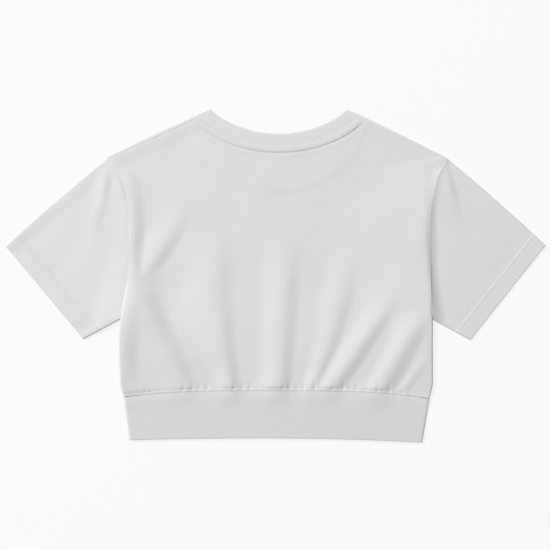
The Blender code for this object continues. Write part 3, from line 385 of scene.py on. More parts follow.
def body_plan(u, v, back):
    """Plan point of a body panel: u runs across it and v from the waist seam up."""
    low_left, low_right = -WAIST_HALF[LEFT], WAIST_HALF[RIGHT]

    def bottom(share):
        x = mix(low_left, low_right, share)
        return np.stack((x, waist_seam(x)), axis=-1)

    def edge(share, side, low_x):
        low_y = float(waist_seam(np.array(low_x)))
        tip_y = shoulder_ends(side, back)[1][1]
        y = mix(low_y, tip_y, share)
        x = body_edge(y, side)
        x = x + (low_x - body_edge(low_y, side)) * hump(share / CORNER_SHARE)
        return np.stack((x, y), axis=-1)

    return patch(u, v, bottom, lambda s: panel_top(s, back),
                 lambda s: edge(s, LEFT, low_left), lambda s: edge(s, RIGHT, low_right))


# ---- Relief -------------------------------------------------------------------------------------------
def fold_lift(x, y, folds):
    """Sum of the folds: each crest is a parabola through its three points, seen as x over y."""
    total = np.zeros_like(x)
    for row in folds:
        f = dict(zip(FOLD_COLUMNS, row))
        ys = (f["top y"], f["middle y"], f["foot y"])
        xs = (f["top x"], f["middle x"], f["foot x"])
        crest = np.polyval(np.polyfit(ys, xs, 2), np.clip(y, ys[2], ys[0]))
        upper = ease((ys[0] - y) / (ys[0] - ys[1]))
        lower = np.clip((ys[1] - y) / (ys[1] - ys[2]), 0.0, 1.0)
        height = upper * mix(f["middle height"], f["foot height"], lower)
        height = height * hump(np.clip(ys[2] - y, 0.0, None) / FOLD_END)
        width = np.where(x < crest, mix(f["middle rise"], f["foot rise"], lower),
                         mix(f["middle fall"], f["foot fall"], lower))
        total = total + height * hump((x - crest) / width)
    return total


def waist_bumps(x):
    total = np.zeros_like(x)
    for middle, height, half in WAIST_BUMPS:
        total = total + height * hump((x - middle) / half)
    return total


def gather_dip(x, above, gathers, width):
    """Creases that run up from the waist seam and die away."""
    total = np.zeros_like(x)
    for middle, depth, reach in gathers:
        total = total + depth * hump((x - middle) / width) * hump(above / reach)
    return total


def wander(k, size, turn, start):
    """Uneven change from one crease to the next: a sine of its number."""
    return size * math.sin(turn * k + start)


def front_gathers():
    """Creases across the front, as x, depth and reach."""
    rows = []
    for k in range(FRONT_GATHERS):
        x = mix(*FRONT_GATHER_ENDS, (k + 0.5) / FRONT_GATHERS) + wander(k, *FRONT_GATHER_DRIFT)
        reach = FRONT_GATHER_REACH * (0.8 + wander(k, *FRONT_GATHER_CHANGE))
        rows.append((x, FRONT_GATHER_DEPTH, reach))
    return rows


def neck_print(x, y):
    """Lift over the front neckband, by the share of the way out to the front neck seam."""
    left_x, left_y, right_x, _, depth, _ = NECK_CURVES["front seam"]
    half = (right_x - left_x) / 2.0
    share = np.hypot((x - (left_x + right_x) / 2.0) / half, (left_y - y) / depth)
    start, end = NECK_PRINT_EDGE
    return NECK_PRINT * (1.0 - ease((share - start) / (end - start)))


def edge_roll(y, side):
    """Foot height, crest lift, roll width and fade width of the back panel's edge."""
    first = 1 if side == LEFT else 5
    return [curved(y, EDGE_ROLLS, first + k) for k in range(4)]


def edge_fade(q, side):
    """How the edge's crest fades inwards: a squared cosine mixed with a parabola."""
    return mix(hump(q), (1.0 - q) ** 2, EDGE_FALL[side])


def back_lift(x, y, below_top):
    """How far the back panel's underside stands above its lowest level, without its edges."""
    above = y - waist_seam(x)
    near_seam = mix(SEAM_SHARE, 1.0, ease(above / SEAM_SHARE_REACH))
    lift = fold_lift(x, y, BACK_FOLDS) * near_seam
    lift = lift + WAIST_PUFF * hump(above / WAIST_PUFF_REACH)
    blouse = ease(above / BLOUSE_FALL) * hump(np.clip(above - BLOUSE_FALL, 0.0, None) / BLOUSE_FADE)
    lift = lift + curved(x, BLOUSE, 1) * blouse
    lift = lift + waist_bumps(x) * hump(above / WAIST_BUMP_REACH)
    lift = lift - gather_dip(x, above, GATHERS, GATHER_WIDTH) * ease(above / GATHER_START)
    lift = lift + SEAM_LIFT * hump(below_top / SEAM_LIFT_REACH)
    return lift + neck_print(x, y)


def seamed(y):
    """0 along the sides, where the edge is a fold, and 1 along the armholes, where it is a seam."""
    return ease((y - UNDERARM_Y) / ARMHOLE_START)


def edge_rise(distance, roll, seam):
    """0 at a panel's edge to 1 inside its roll: a quarter circle at a fold, a quarter sine wave at a seam."""
    q = np.clip(distance / roll, 0.0, 1.0)
    return mix(quarter(q), np.sin(q * math.pi / 2.0), seam)


def inset(distance, wall, roll):
    """How much further in the inner skin lies where an edge rolls over."""
    return wall * np.clip(1.0 - distance / roll, 0.0, 1.0)


def moved(plan, shift, direction):
    return plan + shift[..., None] * direction


def lap(share):
    """How far the sleeve's edge laps under the back panel, by the share up the armhole."""
    start, widening = LAP_START
    end, narrowing = LAP_END
    return LAP * ease((share - start) / widening) * ease((end - share) / narrowing)


def sleeve_plan(s, r, row, upper):
    """Plan point of a sleeve layer: s from underarm to overarm, r from armhole to cuff."""
    _, side, low_x, low_y, high_x, high_y = row
    cuff_low = np.array((low_x, low_y))
    cuff_high = np.array((high_x, high_y))

    def armhole(share):
        y = mix(UNDERARM_Y, TIP_Y[side], share)
        under = lap(share) if upper else 0.0
        return np.stack((body_edge(y, side) + side * (SEAM - under), y), axis=-1)

    def cuff(share):
        return mix(cuff_low, cuff_high, share[..., None])

    def underarm(share):
        return mix(armhole(np.zeros_like(share)), cuff_low, share[..., None])

    def overarm(share):
        start = armhole(np.ones_like(share))
        along = (cuff_high - start[..., :]) / np.linalg.norm(cuff_high - start, axis=-1, keepdims=True)
        across = side * np.stack((-along[..., 1], along[..., 0]), axis=-1)
        bow = OVERARM_BOW * 4.0 * share * (1.0 - share)
        return mix(start, cuff_high, share[..., None]) + across * bow[..., None]

    return patch(s, r, armhole, cuff, underarm, overarm)


def sleeve_puff(s, run, side):
    """How far a sleeve stands up between its folds, fading as a squared cosine towards the cuff."""
    return SLEEVE_PUFF[side] * hump(run / PUFF_REACH) * ease(s / PUFF_EDGE) * ease((1.0 - s) / PUFF_EDGE)


def armhole_height(s, side):
    """How far the sleeve's edge stands up along the armhole, to meet the body's edge."""
    foot = edge_roll(mix(UNDERARM_Y + ARMHOLE_START, TIP_Y[side], s), side)[0]
    return np.clip(foot - SEAM - CLOTH - BASE, 0.0, None)


def armhole_share(s, run, side):
    """1 at the armhole, falling down the sleeve as a parabola mixed with a squared cosine."""
    seam_y = mix(UNDERARM_Y + ARMHOLE_START, TIP_Y[side], s)
    reach = straight(seam_y, ARMHOLE_REACH, 1 if side == LEFT else 2)
    q = np.clip(run / reach, 0.0, 1.0)
    return mix((1.0 - q) ** 2, hump(q), ARMHOLE_ROUND[side])


def upper_level(x, y, s, r, run, under, over, side):
    """Underside height of a sleeve's upper layer."""
    over_crest, under_crest = (straight(r, SLEEVE_EDGES, k) for k in (1, 2))
    lift = over_crest * hump(np.clip(over - OVERARM_ROLL, 0.0, None) / OVERARM_FADE)
    lift = lift + under_crest * hump(np.clip(under - UNDERARM_ROLL, 0.0, None) / UNDERARM_FADE)
    calm = ease(under / FOLD_CALM) * ease(over / FOLD_CALM)
    hidden = lap(s)
    clear = np.clip(run - hidden, 0.0, None)
    lift = lift + fold_lift(x, y, SLEEVE_FOLDS[side]) * calm + sleeve_puff(s, clear, side)
    height = armhole_height(s, side)
    met = mix(np.minimum(height, lift), lift, ease(clear / SEAM_CALM))
    met = met + np.clip(height - lift, 0.0, None) * armhole_share(s, clear, side)
    dip = LAP_DIP * hidden / LAP * hump(run / (LAP + LAP_TURN))
    return BASE + met - np.minimum(dip, height + (BASE - CLOTH) / 2.0)


# ---- Fine relief ---------------------------------------------------------------------------------------
NEEDLE_TRENCH = 0.55        # how deep a row of stitches pulls the cloth in
NEEDLE_REACH = 1.6          # how far to either side of it
TOPSTITCH = 7.8             # neck row, from its seam
TOPSTITCH_SIDES = (0.8, 3.5)      # shares of that reach towards the seam and away from it
WAIST_TOPSTITCH = 3.6       # above the waist seam
WAIST_TOPSTITCH_SIDES = (1.0, 0.9)
HEM_NEEDLES = (25.8, 20.6)  # sleeve hem rows, from the cuff
FRONT_NEEDLES = 0.7         # share of the trench's depth under the front
HEM_NEEDLE_SHARE = 0.3      # and in a sleeve's hem
NECK_ALLOWANCE = (TOPSTITCH + 1.0, 2.0)   # width of the neck seam's allowance, and over which it thins out
WAIST_ALLOWANCE = (6.0, 3.0)
SEAM_TUCK = 0.15            # how far a panel's edge turns down into a seam
SEAM_TUCK_REACH = 0.8
SEAM_CLOSE = 0.12           # the waistband's upper edge from the seam
SEAM_PRESS = 0.8            # how much thinner the seam makes the waistband there
PRESS_REACH = 10.0
FEET_REACH = 24.0           # how far the feet of the back's folds run on into the waistband
RIB_PITCH = 1.6
RIB_RELIEF = 0.11
BAND_TUCK = 0.6             # share of the tuck on the waistband's side
WELT = 0.25                 # rise of the cloth between the waist seam and its row of stitches
UNEVEN = (
    # across, up, phase, height: slow unevenness of hand-smoothed cloth, waves per metre
    (7.0, 4.0, 0.3, 0.16), (-11.0, 6.0, 1.9, 0.11), (15.0, -9.0, 4.1, 0.07), (5.0, 13.0, 2.6, 0.09),
    (23.0, 17.0, 0.9, 0.035), (-31.0, 12.0, 5.2, 0.025), (27.0, -26.0, 3.3, 0.02),
)
UNEVEN_RISE = 0.1           # keeps the uneven cloth clear of what it lies on
BACK_CALM = 12.0            # it dies away over this width beside the back's sides and top
WAIST_CALM = 8.0            # over this one above the waist seam
SLEEVE_CALM = 10.0          # and over this one beside a sleeve's folds and armhole
MARK_ROOM = 0.6             # no column of the mesh lies closer than this to one at the neck's ends
SHARP = 60.0                # degrees between faces past which an edge stays sharp


def stations(*spans):
    """Positions from 0 on: each span is its far end and the largest step within it."""
    marks = [np.zeros(1)]
    start = 0.0
    for end, step in spans:
        count = max(1, math.ceil((end - start) / step))
        marks.append(np.linspace(start, end, count + 1)[1:])
        start = end
    return np.concatenate(marks)


def with_marks(marks, extra, room):
    """The stations with a few exact ones added and their close neighbours left out."""
    keep = [m for m in marks if min(abs(m - e) for e in extra) > room or m in (marks[0], marks[-1])]
    return np.sort(np.array(keep + list(extra)))


def unevenness(x, y):
    """Sum of slanted sine waves."""
    total = np.zeros_like(x)
    for across, up, phase, height in UNEVEN:
        total = total + height * np.sin((across * x + up * y) * 2.0 * math.pi * MM + phase)
    return total


def trench(distance, near=1.0, far=1.0):
    """Rounded groove along a row of stitches: squared cosine of the distance, with a reach on each side."""
    return NEEDLE_TRENCH * hump(distance / (NEEDLE_REACH * np.where(distance < 0.0, near, far)))


def tuck(distance):
    """Drop of a panel's edge into its seam: what is left of a quarter circle over the reach."""
    return SEAM_TUCK * (1.0 - quarter(distance / SEAM_TUCK_REACH))


def nearest(points, line):
    """Distance in plan from each point to a polyline."""
    flat = points.reshape(-1, 2)
    best = np.full(len(flat), np.inf)
    for a, b in zip(line[:-1], line[1:]):
        along = b - a
        share = np.clip(((flat - a) @ along) / (along @ along), 0.0, 1.0)
        best = np.minimum(best, np.hypot(*(flat - a - share[:, None] * along).T))
    return best.reshape(points.shape[:-1])


def run_along(line):
    """Length in plan from a polyline's start to each of its points."""
    return np.concatenate(((0.0,), np.cumsum(np.linalg.norm(np.diff(line, axis=0), axis=1))))


def neck_line(name, count=80):
    return neck_curve(np.linspace(0.0, math.pi, count), name)


def seam_line(side, count=12):
    return shoulder_line(np.linspace(0.0, 1.0, count), side, True)


def panel_columns(spans):
    """Shares across a body panel, with exact ones where the neck begins and ends."""
    marks = stations(*spans, (WAIST_WIDE - spans[0][0], spans[-1][1]), (WAIST_WIDE, spans[0][1]))
    return with_marks(marks / WAIST_WIDE, (NECK_START, NECK_END), MARK_ROOM / WAIST_WIDE)


# ---- Meshes --------------------------------------------------------------------------------------------
def grid_quads(rows, columns, first=0, wrap=False):
    """Quads over a grid of points, row by row; a wrapped grid closes on itself across its columns."""
    j, i = np.meshgrid(np.arange(rows - 1), np.arange(columns if wrap else columns - 1), indexing="ij")
    a = first + j * columns + i
    b = first + j * columns + (i + 1) % columns
    return np.stack((a, b, b + columns, a + columns), axis=-1).reshape(-1, 4)


def put_piece(name, mesh, material):
    """Object of a finished mesh, on the garment's one body."""
    mesh.materials.append(material)
    piece = bpy.data.objects.new(name, mesh)
    bpy.context.scene.collection.objects.link(piece)
    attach(piece, "root")
    return piece


def put_mesh(name, points, faces, plan, material):
    """Smooth mesh object in the frame, faces outwards, with its cloth coordinates as a UV map in metres."""
    fan = np.concatenate((faces[:, (0, 1, 2)], faces[:, (0, 2, 3)]))
    corners = points[fan]
    if np.sum(corners[:, 0] * np.cross(corners[:, 1], corners[:, 2])) < 0.0:
        faces = faces[:, ::-1]
    mesh = bpy.data.meshes.new(name)
    mesh.from_pydata(points * MM, [], faces.tolist())
    mesh.update()
    mesh.shade_smooth()
    mesh.set_sharp_from_angle(angle=math.radians(SHARP))
    layer = mesh.uv_layers.new(name="cloth")
    layer.data.foreach_set("uv", (plan[faces.ravel()] * MM).astype(np.float32).ravel())
    return put_piece(name, mesh, material)


def put_wall(name, outer, inner, faces, plan, material):
    """Closed wall between two skins that share their faces; each free border gets a rim."""
    count = len(outer)
    a = faces.ravel()
    b = np.roll(faces, -1, axis=1).ravel()
    free = ~np.isin(a * count + b, b * count + a)
    p, q = a[free], b[free]
    rim = np.stack((q, p, p + count, q + count), axis=1)
    solid = np.concatenate((faces, faces[:, ::-1] + count, rim))
    return put_mesh(name, np.concatenate((outer, inner)), solid, np.concatenate((plan, plan)), material)


def stack(plan, z):
    return np.dstack((plan, z)).reshape(-1, 3)


def put_tube(name, lower, upper, material, slot):
    """Two layers joined at both folds, each as its outer points, inner points and cloth coordinates."""
    outer, inner, place = (np.concatenate(pair, axis=1) for pair in zip(lower, upper))
    faces = grid_quads(outer.shape[0], outer.shape[1], wrap=True)
    return put_wall(name, outer.reshape(-1, 3), inner.reshape(-1, 3), faces, place.reshape(-1, 2), material)


# ---- Materials -----------------------------------------------------------------------------------------
WALES, COURSES = 0.0008, 0.00062    # metres from one to the next
BAND_SCALE = 0.314159      # scale of a wave texture whose bands are a metre apart
STREAKS = 0.012            # how far the streaks lighten and darken the cloth


def node(tree, kind, **values):
    made = tree.nodes.new(kind)
    for key, value in values.items():
        if key in made.inputs:
            made.inputs[key].default_value = value
        else:
            setattr(made, key, value)
    return made


def combine(tree, operation, first, second):
    """Output of a maths node that takes in two outputs."""
    made = node(tree, "ShaderNodeMath", operation=operation)
    tree.links.new(first, made.inputs[0])
    tree.links.new(second, made.inputs[1])
    return made.outputs[0]


def knit(name, grey, relief):
    """Knitted cotton: wales and courses as fine waves, yarn fuzz and faint streaks along the wales."""
    material = bpy.data.materials.new(name)
    material.use_nodes = True
    tree = material.node_tree
    shader = tree.nodes["Principled BSDF"]
    shader.inputs["Roughness"].default_value = 0.92
    shader.inputs["Specular IOR Level"].default_value = 0.2
    shader.inputs["Sheen Weight"].default_value = 0.08
    shader.inputs["Sheen Roughness"].default_value = 0.6
    link = tree.links.new
    place = node(tree, "ShaderNodeUVMap", uv_map="cloth")
    across = node(tree, "ShaderNodeTexWave", wave_type="BANDS", bands_direction="X", Scale=BAND_SCALE / WALES)
    up = node(tree, "ShaderNodeTexWave", wave_type="BANDS", bands_direction="Y", Scale=BAND_SCALE / COURSES)
    fuzz = node(tree, "ShaderNodeTexNoise", Scale=1400.0, Detail=2.0)
    stretch = node(tree, "ShaderNodeMapping", Scale=(430.0, 240.0, 1.0))
    streak = node(tree, "ShaderNodeTexNoise", Scale=1.0, Detail=3.0)
    for texture in (across, up, fuzz, stretch):
        link(place.outputs["UV"], texture.inputs["Vector"])
    link(stretch.outputs["Vector"], streak.inputs["Vector"])
    loops = combine(tree, "MULTIPLY", across.outputs["Fac"], up.outputs["Fac"])
    yarn = combine(tree, "ADD", loops, fuzz.outputs["Fac"])
    raised = combine(tree, "ADD", yarn, streak.outputs["Fac"])
    bump = node(tree, "ShaderNodeBump", Strength=0.6, Distance=relief)
    link(raised, bump.inputs["Height"])
    link(bump.outputs["Normal"], shader.inputs["Normal"])
    tone = node(tree, "ShaderNodeMapRange")
    tone.inputs["From Min"].default_value = 0.3
    tone.inputs["From Max"].default_value = 0.7
    tone.inputs["To Min"].default_value = 1.0 - STREAKS
    tone.inputs["To Max"].default_value = 1.0 + STREAKS
    link(streak.outputs["Fac"], tone.inputs["Value"])
    tint = node(tree, "ShaderNodeVectorMath", operation="SCALE")
    tint.inputs[0].default_value = (grey, grey, grey)
    link(tone.outputs["Result"], tint.inputs["Scale"])
    link(tint.outputs["Vector"], shader.inputs["Base Color"])
    return material


def plain(name, grey, roughness):
    material = bpy.data.materials.new(name)
    material.use_nodes = True
    shader = material.node_tree.nodes["Principled BSDF"]
    shader.inputs["Base Color"].default_value = (grey, grey, grey, 1.0)
    shader.inputs["Roughness"].default_value = roughness
    return material


# ---- Back panel ----------------------------------------------------------------------------------------
BACK_SPANS = ((9.0, 0.9), (400.0, 1.9))
BACK_HEIGHT = 344.0
BACK_ROWS = stations((14.0, 1.0), (60.0, 1.6), (322.0, 2.0), (BACK_HEIGHT, 1.0))


def allowance(distance, width, thinning):
    """Extra wall over a seam allowance, easing out over the last of its width."""
    return SEAM_EXTRA * ease((width - distance) / thinning)


def back_neck_line(count, clear=0.0):
    angles = np.linspace(NECK_STRIP_ANGLE[LEFT], math.pi - NECK_STRIP_ANGLE[RIGHT], count)
    return neck_curve(angles, "back seam", clear)


def make_back(material):
    """Grid over the back panel: underside from the folds, the wall above it, and edges that roll down."""
    u, v = np.meshgrid(panel_columns(BACK_SPANS), BACK_ROWS / BACK_HEIGHT)
    plan = body_plan(u, v, True)
    x, y = plan[..., 0], plan[..., 1]
    below_top = (1.0 - v) * BACK_HEIGHT
    above = y - waist_seam(x)
    from_left, from_right = x - x[:, :1], x[:, -1:] - x
    neck = nearest(plan, back_neck_line(60, SEAM))
    shoulder = np.minimum(nearest(plan, seam_line(LEFT)), nearest(plan, seam_line(RIGHT)))
    lift = back_lift(x, y, below_top)
    calm = ease(below_top / BACK_CALM) * ease(above / WAIST_CALM)
    calm = calm * ease(from_left / BACK_CALM) * ease(from_right / BACK_CALM)
    lift = lift + (unevenness(x, y) + UNEVEN_RISE) * calm
    wall = CLOTH + allowance(neck, *NECK_ALLOWANCE)
    wall = wall + allowance(above, *WAIST_ALLOWANCE)
    foot = np.zeros_like(x)
    rise = np.ones_like(x)
    shift = np.zeros_like(x)
    seam = seamed(y)
    for side, distance in ((LEFT, from_left), (RIGHT, from_right)):
        edge_foot, crest, roll, fade = edge_roll(y, side)
        inwards = np.clip((distance - roll - EDGE_SHELF[side]) / fade, 0.0, 1.0)
        lift = lift + crest * edge_fade(inwards, side)
        nearer = (u < 0.5) if side == LEFT else (u >= 0.5)
        foot = np.where(nearer, edge_foot, foot)
        rise = np.where(nearer, edge_rise(distance, roll, seam), rise)
        shift = np.where(nearer, -side * inset(distance, wall, roll) * (1.0 - seam), shift)
    taper = quarter(np.minimum(from_left, from_right) / SEAM_TAPER)
    sewn = trench(neck - TOPSTITCH, *TOPSTITCH_SIDES)
    sewn = sewn + trench(above - WAIST_TOPSTITCH, *WAIST_TOPSTITCH_SIDES)
    sewn = sewn - WELT * hump(above / WAIST_TOPSTITCH * 2.0 - 1.0)
    sewn = sewn + tuck(np.minimum(neck, shoulder)) + tuck(above)
    outer_z = mix(foot, BASE + lift + wall - sewn, rise)
    inner_z = mix(mix(foot, BASE + lift, rise), outer_z - wall * taper, seam)
    outer = stack(plan, outer_z)
    inner = stack(moved(plan, shift, ACROSS), inner_z)
    return put_wall("back_panel_jersey", outer, inner, grid_quads(*u.shape), plan.reshape(-1, 2), material)


# ---- Front panel ---------------------------------------------------------------------------------------
FRONT_SPANS = ((6.0, 1.0), (400.0, 3.4))
FRONT_ROWS = stations((12.0, 1.2), (60.0, 2.4), (98.0, 4.0), (122.0, 1.0), (320.0, 4.0), (BACK_HEIGHT, 1.6))
WRAP_TURN = np.linspace(12.0, 180.0, 15)                 # degrees round the shoulder fold
WRAP_STRIP = np.linspace(0.0, 1.0, 7)[1:]                # shares from the fold to the shoulder seam
STRIP_CROWN = 0.35         # rise of the strip between the fold and the seam
STRIP_WIDE = 6.0           # where it is at least this wide
FRONT_ROLL = 3.0
SIDE_LEAN = 0.8            # growth of that roll with the height of the side edge
SIDE_END = (0.5, 3.5)      # the turned-up side ends from this far below the underarm, over this height
SIDE_PLAIN = 4.0           # no stitches show this near a side edge
EXACT = 1e-9


def make_front(material):
    """Grid over the front panel, flat below, and its turn over each shoulder down to the shoulder seam."""
    creases = front_gathers()
    columns = panel_columns(FRONT_SPANS)
    u, v = np.meshgrid(columns, FRONT_ROWS / BACK_HEIGHT)
    plan = body_plan(u, v, False)
    x, y = plan[..., 0], plan[..., 1]
    above = y - waist_seam(x)
    neck = nearest(plan, neck_line("front seam"))
    hollow = gather_dip(x, above, creases, FRONT_GATHER_WIDTH)
    seam_z = by_side(x, 0.0, edge_roll(y, LEFT)[0], edge_roll(y, RIGHT)[0]) - GAP
    turned = 1.0 - ease((y - UNDERARM_Y + SIDE_END[0]) / SIDE_END[1])
    distance = np.minimum(x - x[:, :1], x[:, -1:] - x)
    rise = quarter(distance / (FRONT_ROLL + SIDE_LEAN * (seam_z - FOLD_EDGE + GAP)))
    sewn = FRONT_NEEDLES * (trench(neck - TOPSTITCH) + trench(above - WAIST_TOPSTITCH))
    sewn = sewn * (distance > SIDE_PLAIN)
    outer_z = hollow + turned * seam_z * (1.0 - rise) + sewn
    inner_z = hollow + mix(CLOTH, mix(seam_z, CLOTH, rise), turned)
    shift = turned * inset(distance, CLOTH, FRONT_ROLL) * np.where(u < 0.5, 1.0, -1.0)
    outer = [stack(plan, outer_z)]
    inner = [stack(moved(plan, shift, ACROSS), inner_z)]
    place = [plan.reshape(-1, 2)]
    rows, cols = u.shape
    faces = [grid_quads(rows, cols)]
    count = rows * cols
    for side in (LEFT, RIGHT):
        if side == LEFT:
            chosen = np.flatnonzero(columns <= NECK_START + EXACT)
            t = 1.0 - columns[chosen] / NECK_START
        else:
            chosen = np.flatnonzero(columns >= NECK_END - EXACT)
            t = (columns[chosen] - NECK_END) / (1.0 - NECK_END)
        strip_outer, strip_inner, strip_place = shoulder_wrap(np.clip(t, 0.0, 1.0), side)
        outer.append(strip_outer.reshape(-1, 3))
        inner.append(strip_inner.reshape(-1, 3))
        place.append(strip_place.reshape(-1, 2))
        wide = len(chosen)
        top_row = (rows - 1) * cols + chosen
        k = np.arange(wide - 1)
        faces.append(np.stack((top_row[:-1], top_row[1:], count + k + 1, count + k), axis=1))
        faces.append(grid_quads(len(strip_outer), wide, count))
        count += strip_outer.shape[0] * wide
    return put_wall("front_panel_jersey", np.concatenate(outer), np.concatenate(inner), np.concatenate(faces),
                    np.concatenate(place), material)


def shoulder_wrap(t, side):
    """Half turn round the shoulder fold, then a strip whose edge tucks into the shoulder seam."""
    fold = shoulder_line(t, side, False)
    seam = shoulder_line(t, side, True) + outward(side) * SEAM
    outer_rows, inner_rows, place = [], [], []
    for degrees in WRAP_TURN:
        turn = math.radians(degrees)
        for radius, rows in ((FOLD_EDGE, outer_rows), (FOLD_EDGE - CLOTH, inner_rows)):
            point = fold + outward(side) * radius * math.sin(turn)
            rows.append(np.column_stack((point, np.full(len(t), FOLD_EDGE - radius * math.cos(turn)))))
        place.append(fold + outward(side) * FOLD_EDGE * turn)
    for share in WRAP_STRIP:
        point = mix(fold, seam, share)
        left = np.linalg.norm(seam - point, axis=1)
        wide = np.linalg.norm(seam - fold, axis=1)
        crown = STRIP_CROWN * hump((share - 0.5) * 2.0) * np.clip(wide / STRIP_WIDE, 0.0, 1.0)
        outer_rows.append(np.column_stack((point, 2.0 * FOLD_EDGE + crown - tuck(left))))
        inner_rows.append(np.column_stack((point, np.full(len(t), 2.0 * FOLD_EDGE - CLOTH))))
        place.append(2.0 * fold + outward(side) * 2.0 * FOLD_EDGE * math.pi - point)
    return np.array(outer_rows), np.array(inner_rows), np.array(place)


# ---- Sleeves -------------------------------------------------------------------------------------------
HEM_EASE = 6.0             # width over which the hem's extra wall begins, half of it past the hem
HEM_ROWS = 28.0            # distance from the cuff within which the mesh runs parallel to it
INSIDE_ROLL = 0.99         # share of the rise past which the hem's stitches sink in
LIP = 0.5                  # share of the wall by which the cuff's folded edge thins
LIP_REACH = 1.4
LIP_INSIDE = 0.6           # share of that on the inner skin
LOWER_ROLL = 3.0


def sleeve_length(row):
    side = row[1]
    return math.dist(row[4:6], (float(body_edge(TIP_Y[side], side)), TIP_Y[side]))


def cuff_direction(row):
    """Unit vector in plan from the underarm end of the cuff to the overarm end."""
    return np.array((row[4] - row[2], row[5] - row[3])) / math.dist(row[2:4], row[4:6])


def across_cuff(away, row):
    """Part of each plan vector that is square to the cuff."""
    edge = cuff_direction(row)
    return np.abs(away[..., 0] * edge[1] - away[..., 1] * edge[0])


def sleeve_rows(row, s, along, from_cuff, upper):
    """Shares from armhole to cuff: even down to the hem, then parallel to the cuff at stated distances."""
    zero, one = np.zeros_like(s), np.ones_like(s)
    whole = sleeve_plan(s, one, row, upper) - sleeve_plan(s, zero, row, upper)
    reach = np.linalg.norm(whole, axis=-1)
    square = across_cuff(whole / reach[:, None], row)
    body = along[:, None] * (1.0 - from_cuff[0] / (reach * square))[None, :]
    hem = 1.0 - from_cuff[1:, None] / (reach * square)[None, :]
    return np.concatenate((body, hem))


def cuff_distance(plan, row):
    """Square distance in plan from the line of the cuff."""
    return across_cuff(plan - np.array(row[2:4]), row)


def sleeve_layer(row, s, r, upper):
    """Outer and inner points of one layer: a wall on the sleeve's plan, rolled over at both folds."""
    side = row[1]
    plan = sleeve_plan(s, r, row, upper)
    ends = [sleeve_plan(np.full_like(s, end), r, row, upper) for end in (0.0, 1.0)]
    start, cuff = (sleeve_plan(s, np.full_like(r, end), row, upper) for end in (0.0, 1.0))
    run = r * np.linalg.norm(cuff - start, axis=-1)
    wide = np.linalg.norm(ends[1] - ends[0], axis=-1)
    under, over = s * wide, (1.0 - s) * wide
    from_cuff = cuff_distance(plan, row)
    hem = HEM_EXTRA * ease((HEM_WIDTH + HEM_EASE / 2.0 - from_cuff) / HEM_EASE)
    wall = CLOTH + hem
    x, y = plan[..., 0], plan[..., 1]
    sewn = sum(trench(from_cuff - needle) for needle in HEM_NEEDLES) * HEM_NEEDLE_SHARE
    lip = wall * LIP * (1.0 - quarter(from_cuff / LIP_REACH))
    edge = FOLD_EDGE + UNDERARM_LIFT * armhole_height(s, side) * armhole_share(s, run, side)
    if upper:
        level = upper_level(x, y, s, r, run, under, over, side) + 2.0 * hem
        calm = ease(under / SLEEVE_CALM) * ease(over / SLEEVE_CALM) * ease(run / SLEEVE_CALM)
        level = level + (unevenness(x, y) + UNEVEN_RISE) * calm
        rise = quarter(under / UNDERARM_ROLL) * quarter(over / OVERARM_ROLL)
        outer_z = mix(edge, level + wall - hem - sewn * (rise > INSIDE_ROLL) - lip, rise)
        inner_z = mix(edge, level - hem + lip * LIP_INSIDE, rise)
        shift = inset(under, wall, UNDERARM_ROLL) - inset(over, wall, OVERARM_ROLL)
    else:
        rise = quarter(np.minimum(under, over) / LOWER_ROLL)
        outer_z = edge * (1.0 - rise) + (sewn * (rise > INSIDE_ROLL) + lip) * rise
        inner_z = mix(edge, wall - lip * LIP_INSIDE, rise)
        shift = inset(under, wall, LOWER_ROLL) - inset(over, wall, LOWER_ROLL)
    inner_plan = moved(plan, shift, (ends[1] - ends[0]) / wide[..., None])
    place = np.stack((under - wide / 2.0, run), axis=-1)
    return np.dstack((plan, outer_z)), np.dstack((inner_plan, inner_z)), place


def make_sleeve(row, material):
    """Tube of the lower and the upper layer, joined at the underarm and the overarm folds."""
    name, side = row[0], row[1]
    length = sleeve_length(row)
    wide = TIP_Y[side] - UNDERARM_Y
    shares = stations((6.0, 0.8), (wide - 6.0, 1.9), (wide, 0.8)) / wide
    body = stations((8.0, 1.0), (length - HEM_ROWS, 2.2))
    hem = HEM_ROWS - stations((9.0, 0.9), (25.0, 2.0), (HEM_ROWS, 0.6))
    layers = []
    for upper in (False, True):
        share = 1.0 - shares[:-1] if upper else shares[:-1]
        r = sleeve_rows(row, share, body / body[-1], hem, upper)
        layers.append(sleeve_layer(row, np.broadcast_to(share, r.shape), r, upper))
    return put_tube(name + "_jersey", *layers, material, "jersey")


# ---- Waistband -----------------------------------------------------------------------------------------
WAISTBAND_EDGE = 4.0       # width over which each side edge rolls
BAND_DEPTH = WAIST_SEAM_Y - WAISTBAND_BOTTOM
HEM_FOLD = 2.4             # depth of the roll at the folded hem
RIB_START = 2.0            # the ribs set in over this depth below the seam
COLUMNS_A_RIB = 4


def waistband_plan(u, v):
    """Plan point of the waistband: u across it and v from the waist seam down to its folded hem."""
    left, right = (straight(v, WAISTBAND_ENDS, k) for k in (1, 2))
    x = mix(left, right, u)
    drop = by_side(x, WAISTBAND_MIDDLE, WAISTBAND_DROP[LEFT], WAISTBAND_DROP[RIGHT])
    half = by_side(x, WAISTBAND_MIDDLE, WAISTBAND_MIDDLE - left, right - WAISTBAND_MIDDLE)
    bottom = WAISTBAND_BOTTOM - drop * ((x - WAISTBAND_MIDDLE) / half) ** 2
    return np.stack((x, mix(waist_seam(x) - SEAM_CLOSE, bottom, v)), axis=-1)


